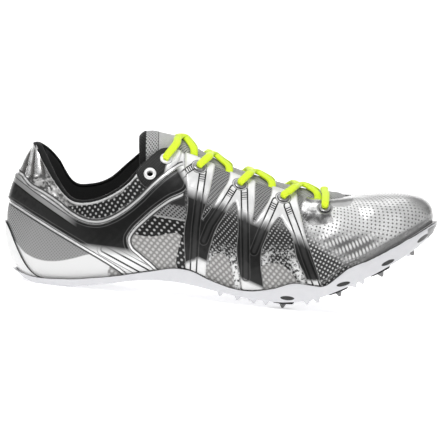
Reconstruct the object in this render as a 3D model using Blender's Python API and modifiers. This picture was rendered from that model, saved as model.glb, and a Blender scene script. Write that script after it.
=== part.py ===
"""A track spike shoe for the right foot, as an assembly of separate pieces.

Metres. +X is the toe, +Y the medial side, +Z up. Every piece is modelled level, as on its last, under one
empty. That empty tips the shoe onto the floor, where it stands on the flat of its heel and its two rear
spikes. The origin is on the floor, under the middle of the flat of the heel.
"""

import math
from collections import namedtuple

import bmesh
import bpy
import numpy as np
from mathutils import Matrix, Vector

for old in list(bpy.data.objects):
    bpy.data.objects.remove(old)

# Driving sizes of the last
LENGTH = 0.285
BALL_WIDTH = 0.096
HEEL_WIDTH = 0.064
HEEL_TAB_HEIGHT = 0.093
COLLAR_HEIGHT = 0.056
INSTEP_HEIGHT = 0.0895
VAMP_HEIGHT = 0.0575
TOE_SPRING = 0.036

# Walls and thicknesses
GAP = 0.0003
UPPER_WALL = 0.0016
COLLAR_PADDING = 0.0030
OVERLAY_WALL = 0.0009
TONGUE_WALL = 0.0022
TONGUE_PADDING = 0.0018
INSOLE_WALL = 0.0025
OUTSOLE_WALL = 0.0022
RIM_WALL = 0.0013
RIM_HEIGHT = 0.0127
MIDSOLE_LEDGE = 0.0011
MIDSOLE_HEEL = 0.0065
MIDSOLE_FOREFOOT = 0.0030
LIP_WALL = 0.0009
KICK_WALL = 0.0024
KICK_HEIGHT = 0.041
KICK_REACH = 0.046
KICK_FALL = 3.5
EDGE_INSET = 0.0060
EDGE_ROUND = 0.0018
RIM_ROUND = 0.0005
WALL_STEP = 0.004

# Spikes, lugs and the heel's tread
SPIKE_LENGTH = 0.0028
SPIKE_RADIUS = 0.0022
SPIKE_TIP_RADIUS = 0.0008
SPIKE_FLANGE = 0.0008
SPIKE_FLANGE_RADIUS = 0.0034
PAD_WALL = 0.0007
PAD_LENGTH = 0.0150
PAD_WIDTH = 0.0100
PAD_TAPER = 0.88
PAD_GAP = 1.5 * GAP
LUG_HEIGHT = 0.0028
LUG_WIDTH = 0.0056
LUG_EDGE = 0.0020
LUG_TIP = 0.22
INNER_LUG_INSET = 0.018
RIB_HEIGHT = 0.0008
RIB_WIDTH = 0.0024
RIB_PITCH = 0.0060
RIB_HALF_LENGTH = 0.36 * HEEL_WIDTH
RIB_FIRST = 0.19 * LENGTH
RIB_LAST = 0.29 * LENGTH
HEEL_FLAT_DEPTH = 0.0005

# Eyelets and laces
EYELET_HOLE = 0.0029
EYELET_TUBE = 0.0006
EYELET_FLANGE = 0.0041
EYELET_FLANGE_WALL = 0.0007
LACE_HALF_WIDTH = 0.0025
LACE_HALF_THICK = 0.0014
LACE_SPARE = 0.0010
THROAT_EDGE = 0.985
DRILL_DEPTH = 8 * UPPER_WALL
TONGUE_CROWN = 0.0040

# How finely the pieces are cut
SIDE_STEPS = 26
END_DENSITY = 0.45
WALL_STEPS = (0.0, 0.10, 0.22, 0.36, 0.50, 0.64, 0.77, 0.89, 1.0)
RIM_STEPS = (0.0, 0.3, 0.62, 1.0)
ROUND_STEPS = 8

# The wall's sections round the last, heel to toe. x is a share of LENGTH, y of the row's width size, and z
# of its height size, for the foot ring below and the top ring above. Lateral values come first.
Section = namedtuple("Section", "name x_foot y_foot x_top y_top z_top width height")
SECTIONS = (
    Section("heel back", 0.038, (0.00, 0.00), 0.066, (0.00, 0.00), (1.000, 1.000), HEEL_WIDTH, HEEL_TAB_HEIGHT),
    Section("tab side", 0.044, (-0.14, 0.14), 0.073, (-0.12, 0.12), (0.975, 0.985), HEEL_WIDTH, HEEL_TAB_HEIGHT),
    Section("heel corner", 0.056, (-0.30, 0.29), 0.093, (-0.25, 0.25), (0.875, 0.935), HEEL_WIDTH, HEEL_TAB_HEIGHT),
    Section("heel side", 0.098, (-0.39, 0.38), 0.118, (-0.35, 0.34), (0.745, 0.850), HEEL_WIDTH, HEEL_TAB_HEIGHT),
    Section("collar rear", 0.154, (-0.445, 0.43), 0.153, (-0.41, 0.39), (1.027, 1.152), HEEL_WIDTH, COLLAR_HEIGHT),
    Section("collar low", 0.217, (-0.475, 0.44), 0.193, (-0.44, 0.415), (0.993, 1.114), HEEL_WIDTH, COLLAR_HEIGHT),
    Section("collar middle", 0.277, (-0.49, 0.42), 0.239, (-0.445, 0.415), (1.063, 1.180), HEEL_WIDTH, COLLAR_HEIGHT),
    Section("collar front", 0.333, (-0.51, 0.405), 0.284, (-0.42, 0.40), (1.209, 1.365), HEEL_WIDTH, COLLAR_HEIGHT),
    Section("ankle", 0.382, (-0.354, 0.271), 0.326, (-0.234, 0.224), (0.905, 0.966), BALL_WIDTH, INSTEP_HEIGHT),
    Section("top eyelet", 0.435, (-0.370, 0.281), 0.368, (-0.156, 0.156), (1.000, 1.010), BALL_WIDTH, INSTEP_HEIGHT),
    Section("instep", 0.498, (-0.396, 0.323), 0.435, (-0.135, 0.135), (0.950, 0.955), BALL_WIDTH, INSTEP_HEIGHT),
    Section("mid throat", 0.589, (-0.438, 0.396), 0.523, (-0.135, 0.135), (0.825, 0.830), BALL_WIDTH, INSTEP_HEIGHT),
    Section("low throat", 0.695, (-0.464, 0.443), 0.628, (-0.135, 0.130), (1.101, 1.113), BALL_WIDTH, VAMP_HEIGHT),
    Section("ball", 0.786, (-0.427, 0.438), 0.712, (-0.125, 0.120), (0.991, 1.005), BALL_WIDTH, VAMP_HEIGHT),
    Section("toe side", 0.877, (-0.313, 0.370), 0.768, (-0.094, 0.099), (0.974, 0.988), BALL_WIDTH, VAMP_HEIGHT),
    Section("toe corner", 0.946, (-0.165, 0.250), 0.796, (-0.047, 0.057), (0.991, 0.997), BALL_WIDTH, VAMP_HEIGHT),
    Section("toe tip", 0.984, (0.055, 0.055), 0.806, (0.010, 0.010), (1.000, 1.000), BALL_WIDTH, VAMP_HEIGHT),
)

# How the wall bows between the two rings, a row for each section above. low and high are how far it leans
# out, in shares of BALL_WIDTH. rise and drop are where it does so, in shares of the wall's own height.
Bow = namedtuple("Bow", "low rise high drop")
BOWS = (
    Bow(0.170, 0.30, 0.215, 0.42),
    Bow(0.138, 0.30, 0.178, 0.42),
    Bow(0.070, 0.32, 0.110, 0.38),
    Bow(0.045, 0.30, 0.060, 0.40),
    Bow(0.036, 0.28, 0.040, 0.42),
    Bow(0.036, 0.27, 0.036, 0.43),
    Bow(0.034, 0.28, 0.036, 0.40),
    Bow(0.032, 0.30, 0.050, 0.32),
    Bow(0.032, 0.36, 0.090, 0.20),
    Bow(0.032, 0.40, 0.145, 0.11),
    Bow(0.042, 0.39, 0.170, 0.10),
    Bow(0.052, 0.37, 0.190, 0.10),
    Bow(0.047, 0.33, 0.205, 0.09),
    Bow(0.042, 0.35, 0.215, 0.06),
    Bow(0.040, 0.42, 0.270, -0.04),
    Bow(0.052, 0.62, 0.390, -0.14),
    Bow(0.062, 0.90, 0.480, -0.25),
)

# The underside along the last: x in shares of LENGTH, its height in shares of TOE_SPRING.
SOLE_BOTTOM = (
    (0.000, 0.340),
    (0.036, 0.140),
    (0.070, 0.033),
    (0.110, -0.012),
    (0.150, -0.025),
    (0.220, 0.022),
    (0.340, 0.110),
    (0.400, 0.075),
    (0.490, -0.080),
    (0.580, -0.228),
    (0.650, -0.267),
    (0.720, -0.206),
    (0.780, -0.039),
    (0.842, 0.167),
    (0.919, 0.489),
    (0.968, 0.750),
    (1.000, 0.960),
)

# The waved top of the outsole's rim, above the underside, in shares of RIM_HEIGHT.
RIM_WAVE = (
    (0.00, 0.37),
    (0.08, 0.37),
    (0.13, 0.43),
    (0.22, 0.40),
    (0.29, 0.39),
    (0.34, 0.49),
    (0.395, 0.74),
    (0.43, 0.77),
    (0.49, 0.49),
    (0.535, 0.39),
    (0.57, 0.45),
    (0.62, 0.70),
    (0.675, 1.00),
    (0.71, 0.79),
    (0.74, 0.57),
    (0.77, 0.80),
    (0.79, 0.97),
    (0.84, 0.94),
    (0.93, 0.89),
    (0.97, 0.80),
    (1.00, 0.60),
)

# Spikes: x in shares of LENGTH, y in shares of BALL_WIDTH. The rear pair comes first and meets the floor.
SPIKES = (
    ("rear_lateral", 0.646, -0.34),
    ("rear_medial", 0.646, 0.33),
    ("mid_lateral", 0.772, -0.32),
    ("mid_medial", 0.784, 0.34),
    ("front_lateral", 0.868, -0.22),
    ("front_medial", 0.878, 0.28),
    ("toe", 0.938, 0.06),
)
REAR_SPIKES = 2

# Eyelets: along the ring from the heel's back, 0, to the toe's tip, 1, and up the wall from 0 to 1.
Eyelet = namedtuple("Eyelet", "name x z overlay")
EYELETS = (
    Eyelet("1", 0.375, 0.925, True),
    Eyelet("2", 0.451, 0.865, True),
    Eyelet("3", 0.546, 0.735, True),
    Eyelet("4", 0.646, 0.635, True),
    Eyelet("5", 0.743, 0.570, False),
    Eyelet("spare", 0.338, 0.820, True),
)
TAB_EYELETS = ("1", "spare")

# Edge lugs, as shares of LENGTH, and the rows of inner lugs.
EDGE_LUGS = (0.500, 0.540, 0.577, 0.605, 0.700, 0.724, 0.812, 0.830, 0.912, 0.940)
INNER_LUGS = (0.560, 0.600, 0.710, 0.825)

# The tongue across the throat, from under the toe end of the throat back to the top eyelet. along is the
# place round the ring, crown how far its middle stands above the throat's edges, in shares of TONGUE_CROWN.
TongueRow = namedtuple("TongueRow", "along crown forward")
TONGUE_ROWS = (
    TongueRow(0.970, -0.50, 0.012),
    TongueRow(0.952, -0.50, 0.003),
    TongueRow(0.925, 0.10, 0.000),
    TongueRow(0.895, 0.70, 0.000),
    TongueRow(0.850, 1.05, 0.000),
    TongueRow(0.780, 1.15, 0.000),
    TongueRow(0.710, 1.05, 0.000),
    TongueRow(0.640, 0.95, 0.000),
    TongueRow(0.570, 0.95, 0.000),
    TongueRow(0.510, 1.35, 0.000),
    TongueRow(0.465, 2.15, 0.000),
)

# The tongue's padded end above the top eyelet: x in shares of LENGTH, half width in shares of BALL_WIDTH,
# heights in shares of INSTEP_HEIGHT.
TongueEnd = namedtuple("TongueEnd", "x_middle z_middle x_edge half_width z_edge")
TONGUE_END = (
    TongueEnd(0.366, 1.110, 0.366, 0.130, 0.930),
    TongueEnd(0.342, 1.125, 0.340, 0.142, 0.880),
    TongueEnd(0.322, 1.110, 0.322, 0.145, 0.860),
    TongueEnd(0.310, 1.070, 0.313, 0.140, 0.865),
)

# Outlines of the raised overlays seen from the side: x in shares of LENGTH, z in shares of INSTEP_HEIGHT.
Corner = namedtuple("Corner", "x z")
HEEL_STRAP = (
    Corner(-0.02, 0.835),
    Corner(0.030, 0.805),
    Corner(0.056, 0.725),
    Corner(0.088, 0.672),
    Corner(0.121, 0.603),
    Corner(0.147, 0.537),
    Corner(0.173, 0.487),
    Corner(0.199, 0.461),
    Corner(0.225, 0.461),
    Corner(0.250, 0.487),
    Corner(0.283, 0.548),
    Corner(0.315, 0.630),
    Corner(0.348, 0.734),
    Corner(0.380, 0.817),
    Corner(0.4165, 0.880),
    Corner(0.4220, 0.715),
    Corner(0.380, 0.641),
    Corner(0.348, 0.569),
    Corner(0.322, 0.497),
    Corner(0.296, 0.415),
    Corner(0.285, 0.353),
    Corner(0.290, 0.280),
    Corner(0.310, 0.218),
    Corner(0.342, 0.130),
    Corner(0.360, 0.060),
    Corner(0.320, 0.020),
    Corner(0.270, 0.130),
    Corner(0.238, 0.197),
    Corner(0.199, 0.270),
    Corner(0.160, 0.342),
    Corner(0.121, 0.414),
    Corner(0.072, 0.507),
    Corner(0.033, 0.575),
    Corner(0.000, 0.630),
    Corner(-0.02, 0.660),
)
EYESTAY_WEB = (
    Corner(0.4190, 0.885),
    Corner(0.4300, 1.100),
    Corner(0.4830, 1.100),
    Corner(0.4885, 0.880),
    Corner(0.4790, 0.735),
    Corner(0.4700, 0.622),
    Corner(0.4595, 0.495),
    Corner(0.4735, 0.550),
    Corner(0.4970, 0.660),
    Corner(0.5200, 0.773),
    Corner(0.5300, 0.950),
    Corner(0.5750, 0.950),
    Corner(0.5820, 0.705),
    Corner(0.5800, 0.586),
    Corner(0.5770, 0.475),
    Corner(0.5975, 0.550),
    Corner(0.6180, 0.660),
    Corner(0.6280, 0.850),
    Corner(0.6720, 0.850),
    Corner(0.6800, 0.620),
    Corner(0.6890, 0.490),
    Corner(0.6950, 0.405),
    Corner(0.7155, 0.208),
    Corner(0.7330, 0.030),
    Corner(0.7400, -0.090),
    Corner(0.7080, -0.090),
    Corner(0.7010, 0.040),
    Corner(0.6770, 0.210),
    Corner(0.6620, 0.400),
    Corner(0.6500, 0.455),
    Corner(0.6385, 0.510),
    Corner(0.6210, 0.455),
    Corner(0.6090, 0.370),
    Corner(0.5970, 0.275),
    Corner(0.5945, 0.210),
    Corner(0.5915, -0.090),
    Corner(0.5500, -0.090),
    Corner(0.5500, -0.015),
    Corner(0.5380, 0.275),
    Corner(0.5410, 0.400),
    Corner(0.5410, 0.490),
    Corner(0.5350, 0.620),
    Corner(0.5090, 0.510),
    Corner(0.4910, 0.415),
    Corner(0.4790, 0.303),
    Corner(0.4680, 0.135),
    Corner(0.4630, -0.060),
    Corner(0.4200, -0.060),
    Corner(0.4200, 0.135),
    Corner(0.4170, 0.415),
    Corner(0.4250, 0.590),
    Corner(0.4240, 0.700),
)
ANKLE_TAB = (
    Corner(0.3060, 0.900),
    Corner(0.3300, 1.100),
    Corner(0.4010, 1.100),
    Corner(0.4070, 0.925),
    Corner(0.3780, 0.845),
    Corner(0.3460, 0.765),
    Corner(0.3320, 0.722),
    Corner(0.3100, 0.790),
)

# Lace crossings, from the toe end: the place round the ring where the strands come out from under the
# throat's edges, the place where they cross, and the eyelet they run to.
Crossing = namedtuple("Crossing", "name out meet eyelet")
CROSSINGS = (
    Crossing("lower", 0.800, 0.760, "4"),
    Crossing("middle", 0.685, 0.648, "3"),
    Crossing("upper", 0.585, 0.550, "2"),
    Crossing("top", 0.500, 0.478, "1"),
)
BAR_EYELET = "5"

UP = Vector((0, 0, 1))
LAST_FRAME = bpy.data.objects.new("last_frame", None)


def spline(knots, values, at, period=None):
    """A smooth curve through values at knots, read at the places given. With a period the curve is closed."""
    knots = np.asarray(knots, float)
    values = np.asarray(values, float)
    at = np.asarray(at, float)
    if period:
        at = np.mod(at, period)
        knots = np.concatenate([knots[-2:] - period, knots, knots[:2] + period])
        values = np.concatenate([values[-2:], values, values[:2]])
    widths = np.diff(knots)
    slopes = np.diff(values) / widths
    inner = (slopes[:-1] * widths[1:] + slopes[1:] * widths[:-1]) / (widths[:-1] + widths[1:])
    tangents = np.concatenate([slopes[:1], inner, slopes[-1:]])
    i = np.clip(np.searchsorted(knots, at, side="right") - 1, 0, len(widths) - 1)
    h = widths[i]
    t = (at - knots[i]) / h
    start = values[i] * (1 + 2 * t) * (1 - t) ** 2 + tangents[i] * h * t * (1 - t) ** 2
    end = values[i + 1] * t * t * (3 - 2 * t) + tangents[i + 1] * h * t * t * (t - 1)
    return start + end


def sole_bottom(x):
    """Height of the sole's underside at x, before the floor flattens the heel."""
    rows = np.array(SOLE_BOTTOM)
    return spline(rows[:, 0] * LENGTH, rows[:, 1] * TOE_SPRING, np.clip(x, 0, LENGTH))


def rim_above_bottom(x):
    rows = np.array(RIM_WAVE)
    return spline(rows[:, 0] * LENGTH, rows[:, 1] * RIM_HEIGHT, np.clip(x, 0, LENGTH))


# The floor, as a line in the level frame: it touches the heel and the tips of the rear spikes.
HEEL_REST_X = 0.105 * LENGTH
HEEL_REST_Z = float(sole_bottom(HEEL_REST_X)) + HEEL_FLAT_DEPTH
SPIKE_DEPTH = PAD_GAP + PAD_WALL + GAP + SPIKE_FLANGE + SPIKE_LENGTH
REAR_SPIKE_X = SPIKES[0][1] * LENGTH
REAR_TIP_Z = float(sole_bottom(REAR_SPIKE_X)) - SPIKE_DEPTH
FLOOR_SLOPE = (REAR_TIP_Z - HEEL_REST_Z) / (REAR_SPIKE_X - HEEL_REST_X)
STANCE = math.atan(FLOOR_SLOPE)


def floor_height(x):
    """Height of the floor at x in the level frame."""
    return HEEL_REST_Z + FLOOR_SLOPE * (x - HEEL_REST_X)


def underside(x):
    """The sole's underside, flattened where it meets the floor."""
    return np.maximum(sole_bottom(x), floor_height(np.asarray(x, float)))


def ledge_height(x):
    """Height of the midsole's ledge, on which the upper stands."""
    return midsole_base(x) + MIDSOLE_LEDGE


def closed_ring(lateral, medial):
    """One value for each section round the closed ring, out along the lateral side and back along the medial."""
    return np.array(list(lateral) + list(medial)[-2:0:-1])


def section_columns():
    """The sections' columns in metres, round the closed ring."""
    foot_x = [s.x_foot * LENGTH for s in SECTIONS]
    top_x = [s.x_top * LENGTH for s in SECTIONS]
    columns = {"foot_x": closed_ring(foot_x, foot_x), "top_x": closed_ring(top_x, top_x)}
    for name, field, size in (("foot_y", "y_foot", "width"), ("top_y", "y_top", "width"), ("top_z", "z_top", "height")):
        sides = [[getattr(s, field)[side] * getattr(s, size) for s in SECTIONS] for side in (0, 1)]
        columns[name] = closed_ring(*sides)
    for field in Bow._fields:
        one_side = [getattr(b, field) for b in BOWS]
        columns[field] = closed_ring(one_side, one_side)
    return columns


def section_places():
    """Where each section lies round the ring: 0 at the heel's back, 1 at the toe's tip, in shares of the way."""
    steps = [0.0]
    for a, b in zip(SECTIONS, SECTIONS[1:]):
        lengths = []
        for field_x, field_y in (("x_foot", "y_foot"), ("x_top", "y_top")):
            dx = (getattr(b, field_x) - getattr(a, field_x)) * LENGTH
            dy = getattr(b, field_y)[0] * b.width - getattr(a, field_y)[0] * a.width
            lengths.append(math.hypot(dx, dy))
        steps.append(steps[-1] + 0.7 * lengths[0] + 0.3 * lengths[1])
    return np.array(steps) / steps[-1]


COLUMNS = section_columns()
PLACES = section_places()
RING_KNOTS = np.concatenate([PLACES, 2 - PLACES[-2:0:-1]])


def place_of(name):
    """Place round the lateral ring of the section with this name."""
    return float(PLACES[[s.name for s in SECTIONS].index(name)])


def column(name, u):
    return spline(RING_KNOTS, COLUMNS[name], u, period=2.0)


def outward(u):
    """Unit vectors that point out of the foot ring, level, as x and y."""
    step = WALL_STEP
    dx = column("foot_x", u + step) - column("foot_x", u - step)
    dy = column("foot_y", u + step) - column("foot_y", u - step)
    length = np.hypot(dx, dy)
    return dy / length, -dx / length


def wall(u, t):
    """Points of the upper's outer face at u round the ring and t up the wall, as an array of x, y, z."""
    u, t = np.broadcast_arrays(np.asarray(u, float), np.asarray(t, float))
    foot_x, foot_y = column("foot_x", u), column("foot_y", u)
    top_x, top_y, top_z = column("top_x", u), column("top_y", u), column("top_z", u)
    foot_z = ledge_height(foot_x) + GAP
    tall = top_z - foot_z
    out_x, out_y = outward(u)
    low, high = column("low", u) * BALL_WIDTH, column("high", u) * BALL_WIDTH
    handles = (
        (foot_x, foot_y, foot_z),
        (foot_x + low * out_x, foot_y + low * out_y, foot_z + column("rise", u) * tall),
        (top_x + high * out_x, top_y + high * out_y, top_z - column("drop", u) * tall),
        (top_x, top_y, top_z),
    )
    shares = ((1 - t) ** 3, 3 * t * (1 - t) ** 2, 3 * t * t * (1 - t), t ** 3)
    return np.stack([sum(w * h[k] for w, h in zip(shares, handles)) for k in range(3)], axis=-1)


def wall_normal(u, t):
    """Unit vectors that point out of the upper's outer face."""
    u = np.asarray(u, float)
    t = np.clip(np.asarray(t, float), WALL_STEP, 1 - WALL_STEP)
    along = wall(u + WALL_STEP, t) - wall(u - WALL_STEP, t)
    up = wall(u, t + WALL_STEP) - wall(u, t - WALL_STEP)
    cross = np.cross(along, up)
    return cross / np.linalg.norm(cross, axis=-1, keepdims=True)


def shell_point(u, t, offset):
    """A point at a distance from the upper's outer face, outward where offset is positive."""
    return wall(u, t) + wall_normal(u, t) * np.asarray(offset, float)[..., None]


def wall_at_height(u, z):
    """How far up the wall a height lies, found by halving."""
    low, high = np.zeros_like(u), np.ones_like(u)
    for _ in range(30):
        middle = (low + high) / 2
        below = wall(u, middle)[..., 2] < z
        low, high = np.where(below, middle, low), np.where(below, high, middle)
    return low


def ring_places():
    """Places round the ring, from the heel's back along the lateral side and home along the medial side."""
    even = np.arange(2 * SIDE_STEPS) / SIDE_STEPS
    return even - END_DENSITY * np.sin(2 * math.pi * even) / (2 * math.pi)


def level_out(points, u, distance):
    """The points moved level, out of the ring."""
    out_x, out_y = outward(u)
    moved = np.array(points, float)
    moved[:, 0] += out_x * distance
    moved[:, 1] += out_y * distance
    return moved


def at_height(points, z):
    moved = np.array(points, float)
    moved[:, 2] = z
    return moved


def on_field(points, field, above=0.0):
    """The points moved up or down onto a height given by x, or to a distance above it."""
    return at_height(points, field(np.asarray(points)[:, 0]) + above)


def material(name, colour, roughness, metallic=0.0):
    made = bpy.data.materials.new(name)
    made.use_nodes = True
    shader = made.node_tree.nodes["Principled BSDF"]
    shader.inputs["Base Color"].default_value = (*colour, 1.0)
    shader.inputs["Roughness"].default_value = roughness
    shader.inputs["Metallic"].default_value = metallic
    return made


def add_mesh(name, points, faces, collection, finish=None, helper=False):
    """A mesh object of these points and faces, its faces turned outwards."""
    mesh = bpy.data.meshes.new(name)
    mesh.from_pydata([tuple(map(float, p)) for p in points], [], [tuple(map(int, f)) for f in faces])
    shaped = bmesh.new()
    shaped.from_mesh(mesh)
    bpy.data.meshes.remove(mesh)
    return add_shaped(name, shaped, collection, finish, helper)


def add_shaped(name, shaped, collection, finish=None, helper=False):
    """A mesh object of what a bmesh holds, its faces turned outwards."""
    mesh = bpy.data.meshes.new(name)
    bmesh.ops.recalc_face_normals(shaped, faces=shaped.faces)
    shaped.to_mesh(mesh)
    shaped.free()
    return add_object(name, mesh, collection, finish, helper)


def add_object(name, data, collection, finish=None, helper=False):
    made = bpy.data.objects.new(name, data)
    collection.objects.link(made)
    made.parent = LAST_FRAME
    if finish:
        data.materials.append(finish)
    if helper:
        made.hide_render = True
        made.display_type = "WIRE"
    else:
        data.shade_smooth()
        data.set_sharp_from_angle(angle=math.radians(40))
    return made


def rings_to_faces(count, rings, closed, rising=None):
    """Faces between neighbouring rings of count points. A closed stack also joins its last ring to its first.

    With rising, the faces are triangles: the first rings, so many of them, rise and the others fall, and each
    pair of triangles is split the same way as the pair on the other side of the wall.
    """
    faces = []
    for r in range(rings if closed else rings - 1):
        a, b = r * count, (r + 1) % rings * count
        for i in range(count):
            j = (i + 1) % count
            if rising is None:
                faces.append((a + i, a + j, b + j, b + i))
            elif r < rising:
                faces += [(a + i, a + j, b + j), (a + i, b + j, b + i)]
            else:
                faces += [(a + i, a + j, b + i), (a + j, b + j, b + i)]
    return faces


def ladder_faces(count, first):
    """Faces that close a ring of count points, laid across it from the lateral to the medial side."""
    faces = [(first, first + 1, first + count - 1)]
    for i in range(1, count // 2 - 1):
        faces.append((first + i, first + i + 1, first + count - i - 1, first + count - i))
    faces.append((first + count // 2 - 1, first + count // 2, first + count // 2 + 1))
    return faces


def ring_solid(name, rings, collection, finish=None, helper=False):
    """A solid from a stack of rings, closed across its first and its last."""
    count = len(rings[0])
    faces = rings_to_faces(count, len(rings), closed=False)
    faces += ladder_faces(count, 0)
    faces += ladder_faces(count, (len(rings) - 1) * count)
    return add_mesh(name, np.concatenate(rings), faces, collection, finish, helper)


def ring_shell(name, rings, collection, finish=None, helper=False):
    """A hollow wall from a stack of rings that runs up its outer face and down its inner one."""
    faces = rings_to_faces(len(rings[0]), len(rings), closed=True, rising=len(rings) // 2)
    return add_mesh(name, np.concatenate(rings), faces, collection, finish, helper)


def boolean(target, cutter, operation):
    modifier = target.modifiers.new(operation.lower(), "BOOLEAN")
    modifier.operation = operation
    modifier.object = cutter
    modifier.solver = "EXACT"
    return modifier


def padding(u, t):
    """Extra thickness of the wall in the collar, which swells towards the topline."""
    side = np.minimum(u, 2 - u)
    ankle = place_of("ankle")
    along = np.clip((ankle - side) / (0.25 * ankle), 0, 1) ** 0.5
    return COLLAR_PADDING * along * np.clip((t - 0.35) / 0.35, 0, 1)


def make_upper(parts, finish):
    """The hollow upper: open at the collar and throat, and underneath, where the midsole closes it."""
    u = ring_places()
    outer = [shell_point(u, np.full_like(u, t), np.zeros_like(u)) for t in WALL_STEPS]
    inner = []
    for t in reversed(WALL_STEPS):
        height = np.full_like(u, t)
        inner.append(shell_point(u, height, -UPPER_WALL - padding(u, height)))
    foot = wall(u, np.zeros_like(u))
    outer[0] = foot
    inner[-1] = on_field(level_out(foot, u, -UPPER_WALL), ledge_height, GAP)
    return ring_shell("upper", outer + inner, parts, finish)


def lip_wall(u):
    """Thickness of the midsole's lip outside the upper: thin at the sides, thick behind the heel."""
    return LIP_WALL + KICK_WALL * heel_share(u)


def heel_share(u):
    """1 at the heel's back, falling to 0 where the midsole's kick ends."""
    half_ring = LENGTH + 0.5 * BALL_WIDTH
    away = np.clip(np.minimum(u, 2 - u) * half_ring / KICK_REACH, 0, 1)
    return np.cos(away * math.pi / 2) ** KICK_FALL


def rim_height(u):
    """Height of the outsole's rim at u."""
    x = column("foot_x", u)
    return sole_bottom(x) + rim_above_bottom(x)


def kick_height(u):
    """Height of the midsole's lip: just under the rim at the sides, and high behind the heel."""
    side = rim_height(u) - GAP
    return side + np.maximum(KICK_HEIGHT - side, 0) * heel_share(u)


def beside_face(u, t, distance):
    """Points level with the upper's outer face at u and t, and a distance out from it."""
    normal = wall_normal(u, t)
    level = np.maximum(np.hypot(normal[:, 0], normal[:, 1]), 0.6)
    return level_out(wall(u, t), u, distance / level)


def make_midsole(parts, finish):
    """The foam wedge, with a ledge for the upper, a lip outside it and a kick up the heel's back."""
    u = ring_places()
    foot = wall(u, np.zeros_like(u))
    thick = lip_wall(u)
    top = wall_at_height(u, kick_height(u))
    rings = [on_field(level_out(foot, u, -EDGE_INSET), midsole_base)]
    rings.append(on_field(level_out(foot, u, GAP + thick), midsole_base))
    for share in RIM_STEPS[1:]:
        rings.append(beside_face(u, top * share, GAP + thick + (LIP_WALL - thick) * share))
    for share in reversed(RIM_STEPS[1:]):
        rings.append(beside_face(u, top * share, 1.3 * GAP))
    rings.append(on_field(level_out(foot, u, GAP), ledge_height))
    inside = -UPPER_WALL - GAP
    rings.append(on_field(level_out(foot, u, inside), ledge_height))
    rings.append(on_field(level_out(foot, u, inside), footbed))
    return ring_solid("midsole", rings, parts, finish)


def midsole_base(x):
    """Height of the midsole's underside, on the outsole."""
    return sole_bottom(x) + OUTSOLE_WALL + GAP


def footbed(x):
    """Height of the midsole's top, under the insole."""
    heel = np.clip((0.62 * LENGTH - x) / (0.35 * LENGTH), 0, 1)
    thick = MIDSOLE_FOREFOOT + (MIDSOLE_HEEL - MIDSOLE_FOREFOOT) * heel * heel * (3 - 2 * heel)
    return midsole_base(x) + thick


def make_insole(parts, finish):
    """The flat insole on the midsole, inside the upper's wall."""
    u = ring_places()
    edge = level_out(wall(u, np.zeros_like(u)), u, -UPPER_WALL - 3 * GAP)
    rings = [
        on_field(edge, footbed, GAP),
        on_field(edge, footbed, GAP + 0.7 * INSOLE_WALL),
        on_field(level_out(edge, u, -0.4 * INSOLE_WALL), footbed, GAP + INSOLE_WALL),
    ]
    return ring_solid("insole", rings, parts, finish)


def lug_points():
    """Places of the lugs under the forefoot: an edge row on each side, and an inner row."""
    places = []
    for shares, inset in ((EDGE_LUGS, LUG_EDGE), (INNER_LUGS, INNER_LUG_INSET)):
        for share in shares:
            for side in (1, -1):
                u = np.array([along_at(share * LENGTH, side)])
                at = level_out(wall(u, [0.0]), u, -inset)[0]
                places.append((float(at[0]), float(at[1])))
    return [p for p in places if clear_of_spikes(*p)]


def along_at(x, side):
    """Place round the ring, on the side given, where the foot ring passes x."""
    low, high = 0.0, 1.0
    for _ in range(30):
        middle = (low + high) / 2
        if column("foot_x", np.array([middle]))[0] < x:
            low = middle
        else:
            high = middle
    return low if side > 0 else 2 - low


def clear_of_spikes(x, y):
    """True where a lug leaves room for every spike's oval pad."""
    long, wide = PAD_LENGTH / 2 + 0.8 * LUG_WIDTH, PAD_WIDTH / 2 + 0.8 * LUG_WIDTH
    return all(math.hypot((x - sx * LENGTH) / long, (y - sy * BALL_WIDTH) / wide) > 1 for _, sx, sy in SPIKES)


def slope_angle(x):
    """Angle of the underside at x."""
    step = 0.002
    return math.atan((float(sole_bottom(x + step)) - float(sole_bottom(x - step))) / (2 * step))


def make_lugs(helpers):
    """All forefoot lugs and heel ribs in one helper mesh, sunk half way into the plate they join."""
    shaped = bmesh.new()
    sunk = 0.5 * OUTSOLE_WALL
    half = LUG_WIDTH / math.sqrt(2)
    for x, y in lug_points():
        turn = Matrix.Rotation(math.pi - slope_angle(x), 4, "Y") @ Matrix.Rotation(math.pi / 4, 4, "Z")
        rise = Matrix.Translation((0, 0, (LUG_HEIGHT - sunk) / 2))
        place = Matrix.Translation((x, y, float(sole_bottom(x)))) @ turn @ rise
        bmesh.ops.create_cone(
            shaped, cap_ends=True, segments=4, radius1=half, radius2=LUG_TIP * half,
            depth=LUG_HEIGHT + sunk, matrix=place,
        )
    for k in range(int((RIB_LAST - RIB_FIRST) / RIB_PITCH) + 1):
        x = RIB_FIRST + k * RIB_PITCH
        size = Matrix.Diagonal((RIB_WIDTH, 2 * RIB_HALF_LENGTH, RIB_HEIGHT + sunk, 1))
        place = Matrix.Translation((x, 0, float(sole_bottom(x)) + (sunk - RIB_HEIGHT) / 2))
        bmesh.ops.create_cube(shaped, size=1, matrix=place @ size)
    return add_shaped("lug_cutter", shaped, helpers, helper=True)


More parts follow.
